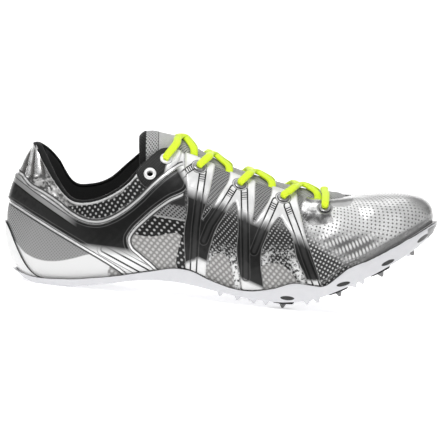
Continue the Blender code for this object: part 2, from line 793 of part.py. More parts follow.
def make_outsole(parts, helpers, finish):
    """The white bottom unit: a plate with a waved rim, forefoot lugs and heel ribs."""
    u = ring_places()
    foot = wall(u, np.zeros_like(u))
    inner = 2.6 * GAP + lip_wall(u)
    outer = inner + RIM_WALL
    top = rim_height(u)
    rings = [
        on_field(level_out(foot, u, -EDGE_INSET), underside),
        on_field(level_out(foot, u, outer - EDGE_ROUND), underside),
        on_field(level_out(foot, u, outer - RIM_ROUND), underside, EDGE_ROUND),
        beside_face(u, wall_at_height(u, top - RIM_ROUND), outer),
        beside_face(u, wall_at_height(u, top), outer - RIM_ROUND),
        beside_face(u, wall_at_height(u, top), inner),
        on_field(level_out(foot, u, inner), outsole_floor),
    ]
    plate = ring_solid("outsole", rings, parts, finish)
    boolean(plate, make_lugs(helpers), "UNION")
    return plate


def outsole_floor(x):
    """Height of the outsole's upper face, under the midsole."""
    return sole_bottom(x) + OUTSOLE_WALL


def prism(name, corners, y_low, y_high, helpers):
    """A helper block: an outline in the side view, pushed straight across from one y to another."""
    shaped = bmesh.new()
    ring = [shaped.verts.new((c.x * LENGTH, y_low, c.z * INSTEP_HEIGHT)) for c in corners]
    pushed = bmesh.ops.extrude_face_region(shaped, geom=[shaped.faces.new(ring)])["geom"]
    moved = [v for v in pushed if isinstance(v, bmesh.types.BMVert)]
    bmesh.ops.translate(shaped, verts=moved, vec=(0, y_high - y_low, 0))
    return add_shaped(name, shaped, helpers, helper=True)


def overlay_band(name, parts, finish):
    """A thin wall all round the upper, from just over the outsole's rim to the topline."""
    u = ring_places()
    start = wall_at_height(u, rim_height(u) + 3 * GAP)
    steps = [np.maximum(step, start + 0.02 * k) for k, step in enumerate(WALL_STEPS)]
    outer = [shell_point(u, t, np.full_like(u, GAP + OVERLAY_WALL)) for t in steps]
    inner = [shell_point(u, t, np.full_like(u, GAP)) for t in reversed(steps)]
    return ring_shell(name, outer + inner, parts, finish)


def make_overlays(parts, helpers, finishes):
    """The heel strap, both eyestay webs and both ankle tabs: pieces of the band inside their outlines."""
    reach = BALL_WIDTH
    plan = (
        ("heel_strap", HEEL_STRAP, -reach, reach, "strap"),
        ("eyestay_web_lateral", EYESTAY_WEB, -reach, -0.002, "web"),
        ("eyestay_web_medial", EYESTAY_WEB, 0.002, reach, "web"),
        ("ankle_tab_lateral", ANKLE_TAB, -reach, -0.002, "tab"),
        ("ankle_tab_medial", ANKLE_TAB, 0.002, reach, "tab"),
    )
    made = {}
    for name, outline, y_low, y_high, finish in plan:
        band = overlay_band(name, parts, finishes[finish])
        boolean(band, prism(name + "_outline", outline, y_low, y_high, helpers), "INTERSECT")
        made[name] = band
    return made


def side_frame(x, z, side):
    """A frame on the upper's outer face where the side view shows x and z; side is 1 lateral, -1 medial."""
    height = np.array([z])
    low, high = 0.0, 1.0
    for _ in range(30):
        middle = (low + high) / 2
        u = np.array([middle if side > 0 else 2 - middle])
        if wall(u, wall_at_height(u, height))[0][0] < x:
            low = middle
        else:
            high = middle
    return frame_at(float(u[0]), float(wall_at_height(u, height)[0]))


def frame_at(u, t):
    """The frame on the upper's outer face at u and t, as a matrix: X along the face to the toe, Z out of it."""
    out = Vector(wall_normal([u], [t])[0])
    along = Vector((1, 0, 0))
    along = (along - out * along.dot(out)).normalized()
    return frame_matrix(Vector(wall([u], [t])[0]), along, out)


def frame_matrix(at, along, out):
    across = out.cross(along)
    return Matrix.Translation(at) @ Matrix((along, across, out)).transposed().to_4x4()


def outwards(frame, height):
    """The point at a height over a frame's origin."""
    return frame @ Vector((0, 0, height))


def facing(frame):
    return frame.to_3x3() @ Vector((0, 0, 1))


def turned(name, frame, profile, collection, finish):
    """A turned piece. Its profile's radius and height pairs run down the outer side, and close at the end."""
    mesh = bpy.data.meshes.new(name)
    count = len(profile)
    edges = [(i, i + 1) for i in range(count - 1)]
    if profile[0][0] > 0:
        edges.append((count - 1, 0))
    mesh.from_pydata([(radius, 0, height) for radius, height in profile], edges, [])
    made = add_object(name, mesh, collection, finish)
    made.matrix_basis = frame
    screw = made.modifiers.new("turn", "SCREW")
    screw.steps = screw.render_steps = ROUND_STEPS
    screw.use_merge_vertices = True
    screw.merge_threshold = 0.00001
    screw.use_smooth_shade = True
    return made


def eyelet_frames():
    """Every eyelet's name, side and frame."""
    found = {}
    for eyelet in EYELETS:
        for side, label in ((1, "lateral"), (-1, "medial")):
            frame = side_frame(eyelet.x * LENGTH, eyelet.z * INSTEP_HEIGHT, side)
            found[eyelet.name, label] = (eyelet, frame)
    return found


def make_eyelets(parts, helpers, finish, frames, upper, overlays):
    """A flanged ring in each eyelet hole, and the holes through the upper and the overlay on it."""
    tube = EYELET_HOLE - GAP
    bore = tube - EYELET_TUBE
    foot = -UPPER_WALL - GAP
    for (name, label), (eyelet, frame) in frames.items():
        seat = eyelet_seat(eyelet)
        profile = (
            (bore, seat + EYELET_FLANGE_WALL),
            (EYELET_FLANGE, seat),
            (tube, seat),
            (tube, foot),
            (bore, foot),
        )
        turned("eyelet_" + label + "_" + name, frame, profile, parts, finish)
        drill = bmesh.new()
        bmesh.ops.create_cone(
            drill, cap_ends=True, segments=ROUND_STEPS, radius1=EYELET_HOLE, radius2=EYELET_HOLE, depth=DRILL_DEPTH
        )
        cutter = add_shaped("hole_" + label + "_" + name, drill, helpers, helper=True)
        cutter.matrix_basis = frame
        boolean(upper, cutter, "DIFFERENCE")
        if eyelet.overlay:
            kind = "ankle_tab_" if name in TAB_EYELETS else "eyestay_web_"
            boolean(overlays[kind + label], cutter, "DIFFERENCE")


def eyelet_seat(eyelet):
    """Height of an eyelet's flange over the upper's outer face: on the overlay, or on the upper itself."""
    return (2.4 * GAP + OVERLAY_WALL) if eyelet.overlay else 1.4 * GAP


def lace_seat(eyelet):
    """Height of a lace's middle where it lies on an eyelet."""
    return eyelet_seat(eyelet) + EYELET_FLANGE_WALL + 1.4 * GAP + LACE_HALF_THICK


def tongue_section(row):
    """Points across the tongue's upper face at a row: a wing under each side of the throat, and the crown."""
    heights = np.array([0.80, 0.90, 1.00])
    under = -UPPER_WALL - GAP * np.array([3.0, 3.2, 2.4])
    sides = [shell_point(np.full(3, u), heights, under) for u in (row.along, 2 - row.along)]
    lateral, medial = sides
    points = [Vector(p) for p in lateral]
    left, right = Vector(lateral[-1]), Vector(medial[-1])
    rise = row.crown * TONGUE_CROWN + UPPER_WALL
    for share in (0.16, 0.33, 0.50, 0.67, 0.84):
        bow = 1 - (2 * share - 1) ** 2
        base = left.lerp(right, share)
        points.append(base + Vector((row.forward * bow, 0, rise * bow)))
    return points + [Vector(p) for p in reversed(medial)]


def tongue_end_section(end):
    """Points across the tongue's upper face in its padded end: an arch from edge to edge."""
    points = []
    for degrees in (-90, -84, -74, -50, -25, 0, 25, 50, 74, 84, 90):
        angle = math.radians(degrees)
        lift = max(math.cos(angle), 0.0) ** 0.8
        x = end.x_edge + (end.x_middle - end.x_edge) * lift
        z = end.z_edge + (end.z_middle - end.z_edge) * lift
        points.append(Vector((x * LENGTH, math.sin(angle) * end.half_width * BALL_WIDTH, z * INSTEP_HEIGHT)))
    return points


def sheet_solid(name, grid, thick, collection, finish):
    """A solid from a grid of points on its upper face; thick gives its thickness at each row."""
    upper = np.array([[tuple(p) for p in row] for row in grid])
    along = np.gradient(upper, axis=0)
    across = np.gradient(upper, axis=1)
    normal = np.cross(across, along)
    normal /= np.linalg.norm(normal, axis=-1, keepdims=True)
    if normal[..., 2].mean() < 0:
        normal = -normal
    lower = upper - normal * np.asarray(thick)[:, None, None]
    rows, cols = upper.shape[:2]
    points = np.concatenate([upper.reshape(-1, 3), lower.reshape(-1, 3)])
    faces = []
    for r in range(rows - 1):
        for c in range(cols - 1):
            a = r * cols + c
            for corners in ((a, a + 1, a + cols + 1), (a, a + cols + 1, a + cols)):
                faces.append(corners)
                faces.append(tuple(rows * cols + i for i in reversed(corners)))
    border = [c for c in range(cols)] + [r * cols + cols - 1 for r in range(1, rows)]
    border += [(rows - 1) * cols + c for c in range(cols - 2, -1, -1)]
    border += [r * cols for r in range(rows - 2, 0, -1)]
    for a, b in zip(border, border[1:] + border[:1]):
        faces.append((a, b, b + rows * cols, a + rows * cols))
    return add_mesh(name, points, faces, collection, finish)


def make_tongue(parts, finish):
    """The tongue, from under the toe end of the throat to its padded end above the top eyelets."""
    grid = [tongue_section(row) for row in TONGUE_ROWS]
    grid += [tongue_end_section(end) for end in TONGUE_END]
    thick = [TONGUE_WALL] * len(TONGUE_ROWS) + [TONGUE_WALL + TONGUE_PADDING] * len(TONGUE_END)
    return sheet_solid("tongue", grid, thick, parts, finish)


def crown_at(u):
    """The tongue's crown at a place round the ring, as a share of TONGUE_CROWN."""
    rows = sorted(TONGUE_ROWS)
    return float(np.interp(u, [r.along for r in rows], [r.crown for r in rows]))


def over_tongue(u, share, lift):
    """A point above the tongue: share runs from the lateral edge of the throat, 0, to the medial, 1."""
    section = tongue_section(TongueRow(u, crown_at(u), 0.0))
    places = (0.0, 0.16, 0.33, 0.50, 0.67, 0.84, 1.0)
    middle = section[2:9]
    point = Vector([float(np.interp(share, places, [p[k] for p in middle])) for k in range(3)])
    lean = (share - 0.5) * 1.2
    return point + Vector((0, math.sin(lean), math.cos(lean))) * lift


def tube(name, path, collection, finish=None, helper=False):
    """A flat lace along a path of points, each with the direction out of its face."""
    points = []
    count = 6
    for i, (at, out) in enumerate(path):
        before, after = path[max(i - 1, 0)][0], path[min(i + 1, len(path) - 1)][0]
        way = (after - before).normalized()
        out = (out - way * out.dot(way)).normalized()
        side = way.cross(out)
        for k in range(count):
            angle = 2 * math.pi * (k + 0.5) / count
            wide = side * math.cos(angle) * LACE_HALF_WIDTH
            points.append(at + wide + out * math.sin(angle) * LACE_HALF_THICK)
    faces = rings_to_faces(count, len(path), closed=False)
    last = (len(path) - 1) * count
    faces += [tuple(range(count)), tuple(range(last, last + count))]
    return add_mesh(name, points, faces, collection, finish, helper)


def strand(crossing, side, frames):
    """One strand's path: out from under one throat edge, over the tongue and into the other side's eyelet."""
    eyelet, frame = frames[crossing.eyelet, "lateral" if side > 0 else "medial"]
    lift = LACE_HALF_THICK + 2 * GAP
    near = 0.34 * side
    path = []
    for place, lean, spare in ((0.0, near, 0.0), (0.55, 0.45 * near, 0.3), (1.0, 0.0, 0.6)):
        u = crossing.out + (crossing.meet - crossing.out) * place
        path.append((over_tongue(u, 0.5 + lean, lift + spare * LACE_SPARE), UP))
    edge_u = 0.45 * crossing.meet + 0.55 * along_of_eyelet(eyelet)
    past = 0.5 * (crossing.meet + edge_u)
    path.append((over_tongue(past, 0.5 - 0.65 * near, lift + 0.8 * LACE_SPARE), UP))
    seat = lace_seat(eyelet)
    edge = frame_at(edge_u if side > 0 else 2 - edge_u, THROAT_EDGE)
    path.append((outwards(edge, seat + LACE_SPARE), facing(edge)))
    between = edge.translation.lerp(frame.translation, 0.55)
    path.append((between + facing(frame) * (seat + LACE_SPARE), facing(frame)))
    path.append((outwards(frame, seat + 0.6 * LACE_SPARE), facing(frame)))
    return path


def along_of_eyelet(eyelet):
    """Place round the ring of an eyelet, found on the throat's edge nearest to it."""
    places = np.linspace(0.38, 0.95, 200)
    return float(places[np.argmin(np.abs(column("top_x", places) - eyelet.x * LENGTH))])


def make_laces(parts, helpers, finish, frames):
    """Four crossings, each two joined strands, and the straight bar at the lowest eyelets."""
    for crossing in CROSSINGS:
        first = tube("lace_cross_" + crossing.name, strand(crossing, 1, frames), parts, finish)
        second = tube("strand_" + crossing.name, strand(crossing, -1, frames), helpers, helper=True)
        boolean(first, second, "UNION")
    tube("lace_bar", bar_path(frames), parts, finish)


def bar_path(frames):
    """The straight lace over the tongue between the lowest eyelets."""
    eyelet, lateral = frames[BAR_EYELET, "lateral"]
    medial = frames[BAR_EYELET, "medial"][1]
    height = lace_seat(eyelet) + LACE_SPARE
    u = along_of_eyelet(eyelet)
    ends = [(outwards(f, height), facing(f)) for f in (lateral, frame_at(u, THROAT_EDGE))]
    home = [(outwards(f, height), facing(f)) for f in (frame_at(2 - u, THROAT_EDGE), medial)]
    lift = LACE_HALF_THICK + 2 * GAP
    return ends + [(over_tongue(u, share, lift), UP) for share in (0.3, 0.5, 0.7)] + home


def make_spikes(parts, pad_finish, spike_finish):
    """The oval pads under the forefoot and the blunt spikes in them."""
    start = SPIKE_DEPTH - SPIKE_LENGTH - SPIKE_FLANGE
    profile = (
        (0, SPIKE_DEPTH),
        (SPIKE_TIP_RADIUS, SPIKE_DEPTH),
        (SPIKE_RADIUS, start + SPIKE_FLANGE),
        (SPIKE_FLANGE_RADIUS, start + 0.7 * SPIKE_FLANGE),
        (SPIKE_FLANGE_RADIUS, start),
        (0, start),
    )
    oval = Matrix.Diagonal((PAD_LENGTH / 2, PAD_WIDTH / 2, 1, 1))
    for k, (name, x_share, y_share) in enumerate(SPIKES):
        x, y = x_share * LENGTH, y_share * BALL_WIDTH
        slope = STANCE if k < REAR_SPIKES else slope_angle(x)
        down = Vector((math.sin(slope), 0, -math.cos(slope)))
        along = Vector((math.cos(slope), 0, math.sin(slope)))
        frame = frame_matrix(Vector((x, y, float(sole_bottom(x)))), along, down)
        plate = bmesh.new()
        place = Matrix.Translation((0, 0, PAD_GAP + PAD_WALL / 2)) @ oval
        bmesh.ops.create_cone(
            plate, cap_ends=True, segments=2 * ROUND_STEPS, radius1=1, radius2=PAD_TAPER, depth=PAD_WALL, matrix=place
        )
        pad = add_shaped("spike_pad_" + name, plate, parts, pad_finish)
        pad.matrix_basis = frame
        turned("spike_" + name, frame, profile, parts, spike_finish)


def main():
    scene = bpy.context.scene
    parts = bpy.data.collections.new("track_spike_shoe")
    helpers = bpy.data.collections.new("cutters")
    scene.collection.children.link(parts)
    scene.collection.children.link(helpers)
    parts.objects.link(LAST_FRAME)
    silver = material("silver_mesh", (0.62, 0.62, 0.62), 0.3, 0.8)
    white = material("white_sole", (0.9, 0.9, 0.92), 0.35)
    foam = material("white_foam", (0.92, 0.92, 0.92), 0.55)
    black = material("black_lining", (0.02, 0.02, 0.02), 0.8)
    grey = material("grey_tongue", (0.35, 0.35, 0.36), 0.8)
    strap = material("dark_film", (0.05, 0.05, 0.055), 0.35)
    web = material("white_film", (0.85, 0.85, 0.85), 0.35)
    neon = material("neon_cord", (0.75, 0.95, 0.03), 0.6)
    steel = material("steel_spike", (0.7, 0.7, 0.7), 0.25, 1.0)
    ring = material("grey_ring", (0.45, 0.45, 0.45), 0.35, 0.6)
    pad = material("black_pad", (0.02, 0.02, 0.02), 0.4)
    upper = make_upper(parts, silver)
    make_midsole(parts, foam)
    make_outsole(parts, helpers, white)
    make_insole(parts, black)
    make_tongue(parts, grey)
    overlays = make_overlays(parts, helpers, {"strap": strap, "web": web, "tab": strap})
    frames = eyelet_frames()
    make_eyelets(parts, helpers, ring, frames, upper, overlays)
    make_laces(parts, helpers, neon, frames)
    make_spikes(parts, pad, steel)
    stand_on_floor()


def stand_on_floor():
    """Tips the level shoe until heel and rear spikes meet the floor, with the origin under the heel's flat."""
    turn = Matrix.Rotation(STANCE, 4, "Y")
    rest = turn @ Vector((HEEL_REST_X, 0, HEEL_REST_Z))
    LAST_FRAME.matrix_world = Matrix.Translation(-rest) @ turn


main()
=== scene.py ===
import math
from collections import namedtuple

import bmesh
import bpy
import numpy as np
from mathutils import Matrix, Vector


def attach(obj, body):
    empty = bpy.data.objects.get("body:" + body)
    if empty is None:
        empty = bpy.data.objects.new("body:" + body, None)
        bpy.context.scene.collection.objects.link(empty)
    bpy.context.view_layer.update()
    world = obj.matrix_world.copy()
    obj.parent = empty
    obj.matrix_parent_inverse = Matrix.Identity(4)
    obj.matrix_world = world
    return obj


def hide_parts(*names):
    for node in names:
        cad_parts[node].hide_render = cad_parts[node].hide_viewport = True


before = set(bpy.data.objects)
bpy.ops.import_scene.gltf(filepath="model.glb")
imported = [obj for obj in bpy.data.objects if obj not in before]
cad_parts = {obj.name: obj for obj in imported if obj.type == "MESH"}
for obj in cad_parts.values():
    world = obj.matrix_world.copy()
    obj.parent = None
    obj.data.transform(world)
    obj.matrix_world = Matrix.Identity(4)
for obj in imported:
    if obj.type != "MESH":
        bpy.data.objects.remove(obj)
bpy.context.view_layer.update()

# Sizes of the last and its walls, in metres
LENGTH = 0.285
BALL_WIDTH = 0.096
HEEL_WIDTH = 0.064
HEEL_TAB_HEIGHT = 0.093
COLLAR_HEIGHT = 0.056
INSTEP_HEIGHT = 0.0895
VAMP_HEIGHT = 0.0575
TOE_SPRING = 0.036
GAP = 0.0003
UPPER_WALL = 0.0016
COLLAR_PADDING = 0.0030
OVERLAY_WALL = 0.0009
TONGUE_WALL = 0.0022
TONGUE_PADDING = 0.0018
INSOLE_WALL = 0.0025
OUTSOLE_WALL = 0.0022
RIM_WALL = 0.0013
RIM_HEIGHT = 0.0127
MIDSOLE_LEDGE = 0.0011
MIDSOLE_HEEL = 0.0065
MIDSOLE_FOREFOOT = 0.0030
LIP_WALL = 0.0009
KICK_WALL = 0.0024
KICK_HEIGHT = 0.041
KICK_REACH = 0.046
KICK_FALL = 3.5
KICK_HOLLOW = 1.5
EDGE_INSET = 0.0060
EDGE_ROUND = 0.0018
RIM_ROUND = 0.0005
WALL_STEP = 0.004
SPIKE_LENGTH = 0.0028
SPIKE_RADIUS = 0.0022
SPIKE_TIP_RADIUS = 0.0008
SPIKE_FLANGE = 0.0008
SPIKE_FLANGE_RADIUS = 0.0034
PAD_WALL = 0.0007
PAD_LENGTH = 0.0150
PAD_WIDTH = 0.0100
PAD_GAP = 1.5 * GAP
LUG_HEIGHT = 0.0028
LUG_WIDTH = 0.0056
LUG_EDGE = 0.0020
LUG_TIP = 0.22
INNER_LUG_INSET = 0.018
RIB_HEIGHT = 0.0008
RIB_WIDTH = 0.0024
RIB_PITCH = 0.0060
RIB_HALF_LENGTH = 0.36 * HEEL_WIDTH
RIB_FIRST = 0.19 * LENGTH
RIB_LAST = 0.29 * LENGTH
HEEL_FLAT_DEPTH = 0.0005
EYELET_HOLE = 0.0029
EYELET_TUBE = 0.0006
EYELET_FLANGE = 0.0041
EYELET_FLANGE_WALL = 0.0007
LACE_HALF_WIDTH = 0.0025
LACE_HALF_THICK = 0.0014
LACE_SPARE = 0.0010
THROAT_EDGE = 0.985
TONGUE_CROWN = 0.0040
END_DENSITY = 0.45
MM = 0.001
TOE_REACH = 0.0030
TOE_REACH_FROM = 0.225

# Sizes that only the dressed shoe has, and its picture
HOLE_REACH = 0.008
PIPING_SPARE = 0.0004
SIDE_NAMES = {1: "lateral", -1: "medial"}
PICTURE_PIXELS = 440
PIXEL = 0.6597 * MM
CAMERA_AWAY = 3.0
CAMERA_TILT = 5.0
LUG_BEVEL = 0.00022
RIB_BEVEL = 0.00015

Section = namedtuple("Section", "name x_foot y_foot x_top y_top z_top width height")


def sized_sections(width, height, rows):
    return [Section(*row, width, height) for row in rows]


SECTIONS = (
    *sized_sections(HEEL_WIDTH, HEEL_TAB_HEIGHT, (
        ("heel back", 0.038, (0.00, 0.00), 0.066, (0.00, 0.00), (1.000, 1.000)),
        ("tab side", 0.044, (-0.14, 0.14), 0.073, (-0.12, 0.12), (0.975, 0.985)),
        ("heel corner", 0.056, (-0.30, 0.29), 0.093, (-0.25, 0.25), (0.875, 0.935)),
        ("heel side", 0.098, (-0.39, 0.38), 0.118, (-0.35, 0.34), (0.745, 0.850)),
    )),
    *sized_sections(HEEL_WIDTH, COLLAR_HEIGHT, (
        ("collar rear", 0.154, (-0.445, 0.43), 0.153, (-0.41, 0.39), (1.027, 1.152)),
        ("collar low", 0.217, (-0.475, 0.44), 0.193, (-0.44, 0.415), (0.993, 1.114)),
        ("collar middle", 0.277, (-0.49, 0.42), 0.239, (-0.445, 0.415), (1.063, 1.180)),
        ("collar front", 0.333, (-0.51, 0.405), 0.284, (-0.42, 0.40), (1.209, 1.365)),
    )),
    *sized_sections(BALL_WIDTH, INSTEP_HEIGHT, (
        ("ankle", 0.382, (-0.354, 0.271), 0.326, (-0.234, 0.224), (0.905, 0.966)),
        ("top eyelet", 0.435, (-0.370, 0.281), 0.368, (-0.156, 0.156), (1.000, 1.010)),
        ("instep", 0.498, (-0.396, 0.323), 0.435, (-0.135, 0.135), (0.950, 0.955)),
        ("mid throat", 0.589, (-0.438, 0.396), 0.523, (-0.135, 0.135), (0.825, 0.830)),
    )),
    *sized_sections(BALL_WIDTH, VAMP_HEIGHT, (
        ("low throat", 0.695, (-0.464, 0.443), 0.628, (-0.135, 0.130), (1.101, 1.113)),
        ("ball", 0.786, (-0.427, 0.438), 0.712, (-0.125, 0.120), (0.991, 1.005)),
        ("toe side", 0.877, (-0.313, 0.370), 0.768, (-0.094, 0.099), (0.974, 0.988)),
        ("toe corner", 0.946, (-0.165, 0.250), 0.796, (-0.047, 0.057), (0.991, 0.997)),
        ("toe tip", 0.984, (0.055, 0.055), 0.806, (0.010, 0.010), (1.000, 1.000)),
    )),
)
Bow = namedtuple("Bow", "low rise high drop")
BOWS = (
    Bow(0.170, 0.30, 0.215, 0.42),
    Bow(0.138, 0.30, 0.178, 0.42),
    Bow(0.070, 0.32, 0.110, 0.38),
    Bow(0.045, 0.30, 0.060, 0.40),
    Bow(0.036, 0.28, 0.040, 0.42),
    Bow(0.036, 0.27, 0.036, 0.43),
    Bow(0.034, 0.28, 0.036, 0.40),
    Bow(0.032, 0.30, 0.050, 0.32),
    Bow(0.032, 0.36, 0.090, 0.20),
    Bow(0.032, 0.40, 0.145, 0.11),
    Bow(0.042, 0.39, 0.170, 0.10),
    Bow(0.052, 0.37, 0.190, 0.10),
    Bow(0.047, 0.33, 0.205, 0.09),
    Bow(0.042, 0.35, 0.215, 0.06),
    Bow(0.040, 0.42, 0.270, -0.04),
    Bow(0.052, 0.62, 0.390, -0.14),
    Bow(0.062, 0.90, 0.480, -0.25),
)
SOLE_BOTTOM = (
    (0.000, 0.340), (0.036, 0.140), (0.070, 0.033), (0.110, -0.012), (0.150, -0.025), (0.220, 0.022),
    (0.340, 0.110), (0.400, 0.075), (0.490, -0.080), (0.580, -0.228), (0.650, -0.267), (0.720, -0.206),
    (0.780, -0.039), (0.842, 0.167), (0.919, 0.489), (0.968, 0.750), (1.000, 0.960),
)
RIM_WAVE = (
    (0.00, 0.37), (0.08, 0.37), (0.13, 0.43), (0.22, 0.40), (0.29, 0.39), (0.34, 0.49), (0.395, 0.74),
    (0.43, 0.77), (0.49, 0.49), (0.535, 0.39), (0.57, 0.45), (0.62, 0.70), (0.675, 1.00), (0.71, 0.79),
    (0.74, 0.57), (0.77, 0.80), (0.79, 0.97), (0.84, 0.94), (0.93, 0.89), (0.97, 0.80), (1.00, 0.60),
)
SPIKES = (
    ("rear_lateral", 0.646, -0.34),
    ("rear_medial", 0.646, 0.33),
    ("mid_lateral", 0.772, -0.32),
    ("mid_medial", 0.784, 0.34),
    ("front_lateral", 0.868, -0.22),
    ("front_medial", 0.878, 0.28),
    ("toe", 0.938, 0.06),
)
REAR_SPIKES = 2
Eyelet = namedtuple("Eyelet", "name x z overlay")
EYELETS = (
    Eyelet("1", 0.375, 0.925, True),
    Eyelet("2", 0.451, 0.865, True),
    Eyelet("3", 0.546, 0.735, True),
    Eyelet("4", 0.646, 0.635, True),
    Eyelet("5", 0.743, 0.570, False),
    Eyelet("spare", 0.338, 0.820, True),
)
EDGE_LUGS = (0.500, 0.540, 0.577, 0.605, 0.700, 0.724, 0.812, 0.830, 0.912, 0.940)
INNER_LUGS = (0.560, 0.600, 0.710, 0.825)
TongueRow = namedtuple("TongueRow", "along crown forward")
TONGUE_ROWS = (
    TongueRow(0.970, -0.50, 0.012),
    TongueRow(0.952, -0.50, 0.003),
    TongueRow(0.925, 0.10, 0.000),
    TongueRow(0.895, 0.70, 0.000),
    TongueRow(0.850, 1.05, 0.000),
    TongueRow(0.780, 1.15, 0.000),
    TongueRow(0.710, 1.05, 0.000),
    TongueRow(0.640, 0.95, 0.000),
    TongueRow(0.570, 0.95, 0.000),
    TongueRow(0.510, 1.35, 0.000),
    TongueRow(0.465, 2.15, 0.000),
)
TongueEnd = namedtuple("TongueEnd", "x_middle z_middle x_edge half_width z_edge")
TONGUE_END = (
    TongueEnd(0.366, 1.110, 0.366, 0.130, 0.930),
    TongueEnd(0.342, 1.125, 0.340, 0.142, 0.880),
    TongueEnd(0.322, 1.110, 0.322, 0.145, 0.860),
    TongueEnd(0.310, 1.070, 0.313, 0.140, 0.865),
)
HEEL_STRAP = (
    (-0.02, 0.835), (0.030, 0.805), (0.056, 0.725), (0.088, 0.672), (0.121, 0.603), (0.147, 0.537),
    (0.173, 0.487), (0.199, 0.461), (0.225, 0.461), (0.250, 0.487), (0.283, 0.548), (0.315, 0.630),
    (0.348, 0.734), (0.380, 0.817), (0.4165, 0.880), (0.4220, 0.715), (0.380, 0.641), (0.348, 0.569),
    (0.322, 0.497), (0.296, 0.415), (0.285, 0.353), (0.290, 0.280), (0.310, 0.218), (0.342, 0.130),
    (0.360, 0.060), (0.320, 0.020), (0.270, 0.130), (0.238, 0.197), (0.199, 0.270), (0.160, 0.342),
    (0.121, 0.414), (0.072, 0.507), (0.033, 0.575), (0.000, 0.630), (-0.02, 0.660),
)
EYESTAY_WEB = (
    (0.4190, 0.885), (0.4300, 1.100), (0.4830, 1.100), (0.4885, 0.880), (0.4790, 0.735), (0.4700, 0.622),
    (0.4595, 0.495), (0.4735, 0.550), (0.4970, 0.660), (0.5200, 0.773), (0.5300, 0.950), (0.5750, 0.950),
    (0.5820, 0.705), (0.5800, 0.586), (0.5770, 0.475), (0.5975, 0.550), (0.6180, 0.660), (0.6280, 0.850),
    (0.6720, 0.850), (0.6800, 0.620), (0.6890, 0.490), (0.6950, 0.405), (0.7155, 0.208), (0.7330, 0.030),
    (0.7400, -0.090), (0.7080, -0.090), (0.7010, 0.040), (0.6770, 0.210), (0.6620, 0.400), (0.6500, 0.455),
    (0.6385, 0.510), (0.6210, 0.455), (0.6090, 0.370), (0.5970, 0.275), (0.5945, 0.210), (0.5915, -0.090),
    (0.5500, -0.090), (0.5500, -0.015), (0.5380, 0.275), (0.5410, 0.400), (0.5410, 0.490), (0.5350, 0.620),
    (0.5090, 0.510), (0.4910, 0.415), (0.4790, 0.303), (0.4680, 0.135), (0.4630, -0.060), (0.4200, -0.060),
    (0.4200, 0.135), (0.4170, 0.415), (0.4250, 0.590), (0.4240, 0.700),
)
ANKLE_TAB = (
    (0.3060, 0.900), (0.3300, 1.100), (0.4010, 1.100), (0.4070, 0.925), (0.3780, 0.845), (0.3460, 0.765),
    (0.3320, 0.722), (0.3100, 0.790),
)
Crossing = namedtuple("Crossing", "name out meet eyelet")
CROSSINGS = (
    Crossing("lower", 0.800, 0.760, "4"),
    Crossing("middle", 0.685, 0.648, "3"),
    Crossing("upper", 0.585, 0.550, "2"),
    Crossing("top", 0.500, 0.478, "1"),
)
BAR_EYELET = "5"

# Printed and bonded zones of the upper, seen from the side: x and z in millimetres on the level last.
ZONES = {
    "heel_tab": (
        (15.2, 101.6), (21.8, 97.6), (24.4, 88.4), (28.4, 73.2), (21.1, 72.2), (13.9, 69.6), (1.3, 68.6),
        (6.6, 83.1),
    ),
    "counter": (
        (-12.0, 60.0), (8.6, 53.4), (20.5, 46.2), (34.3, 37.6), (45.5, 31.7), (56.7, 24.4), (61.4, 21.8),
        (54.1, 20.5), (44.7, 17.9), (32.7, 16.0), (23.7, 16.6), (13.1, 21.1), (5.5, 28.6), (-2.6, 33.0),
        (-12.0, 36.0),
    ),
    "heel_white": (
        (-12.0, 36.0), (-2.6, 33.0), (5.5, 28.6), (13.1, 21.1), (23.7, 16.6), (32.7, 16.0), (44.7, 17.9),
        (54.1, 20.5), (61.4, 21.8), (70.0, 17.0), (80.0, 12.0), (96.0, 4.0), (96.0, -12.0), (-12.0, -12.0),
    ),
    "collar_dots": (
        (40.9, 52.1), (50.1, 53.4), (60.0, 54.8), (69.9, 57.4), (79.8, 63.3), (88.4, 71.9), (95.0, 69.3),
        (89.7, 61.4), (80.5, 53.4), (71.2, 46.8), (62.0, 44.2), (52.8, 45.5), (46.2, 48.8),
    ),
    "panel_low": (
        (80.5, 33.0), (96.3, 32.7), (116.8, 33.6), (114.8, 23.7), (113.5, 15.8), (116.1, 6.6), (93.7, 6.6),
        (85.8, 15.8), (81.8, 23.7),
    ),
    "patch_middle": (
        (134.6, -2.0), (135.2, 15.8), (138.5, 21.1), (143.2, 22.4), (147.1, 19.8), (149.8, 13.2),
        (151.1, -2.0),
    ),
    "patch_front": (
        (162.3, -6.0), (163.6, 6.6), (168.2, 13.2), (175.5, 16.2), (182.7, 15.2), (188.7, 10.6), (193.3, 4.0),
        (196.6, -6.0),
    ),
    "silver_patch": (
        (196.6, 52.1), (199.2, 56.7), (204.5, 58.1), (209.8, 56.1), (217.7, 53.4), (215.7, 47.5),
        (217.7, 42.9), (209.8, 40.9), (201.9, 40.9), (197.3, 45.5),
    ),
    "forefoot_dark": (
        (192.6, 40.2), (203.2, 31.7), (215.1, 23.7), (228.3, 15.8), (238.8, 11.9), (236.2, 4.0),
        (195.3, -6.0), (175.5, -6.0), (175.5, 30.3),
    ),
    "throat_front": (
        (210.0, 66.0), (226.0, 65.0), (231.0, 59.0), (229.0, 53.0), (222.0, 51.5), (213.0, 53.5),
    ),
    "heel_patch": (
        (68.5, 7.0), (70.0, 13.5), (73.0, 15.6), (77.0, 14.0), (81.0, 10.0), (80.0, 6.0),
    ),
    "toe_tip": (
        (262.0, 66.0), (277.7, 61.4), (288.0, 55.4), (291.9, 40.2), (282.4, 42.2), (277.1, 48.8),
        (269.2, 54.8),
    ),
}
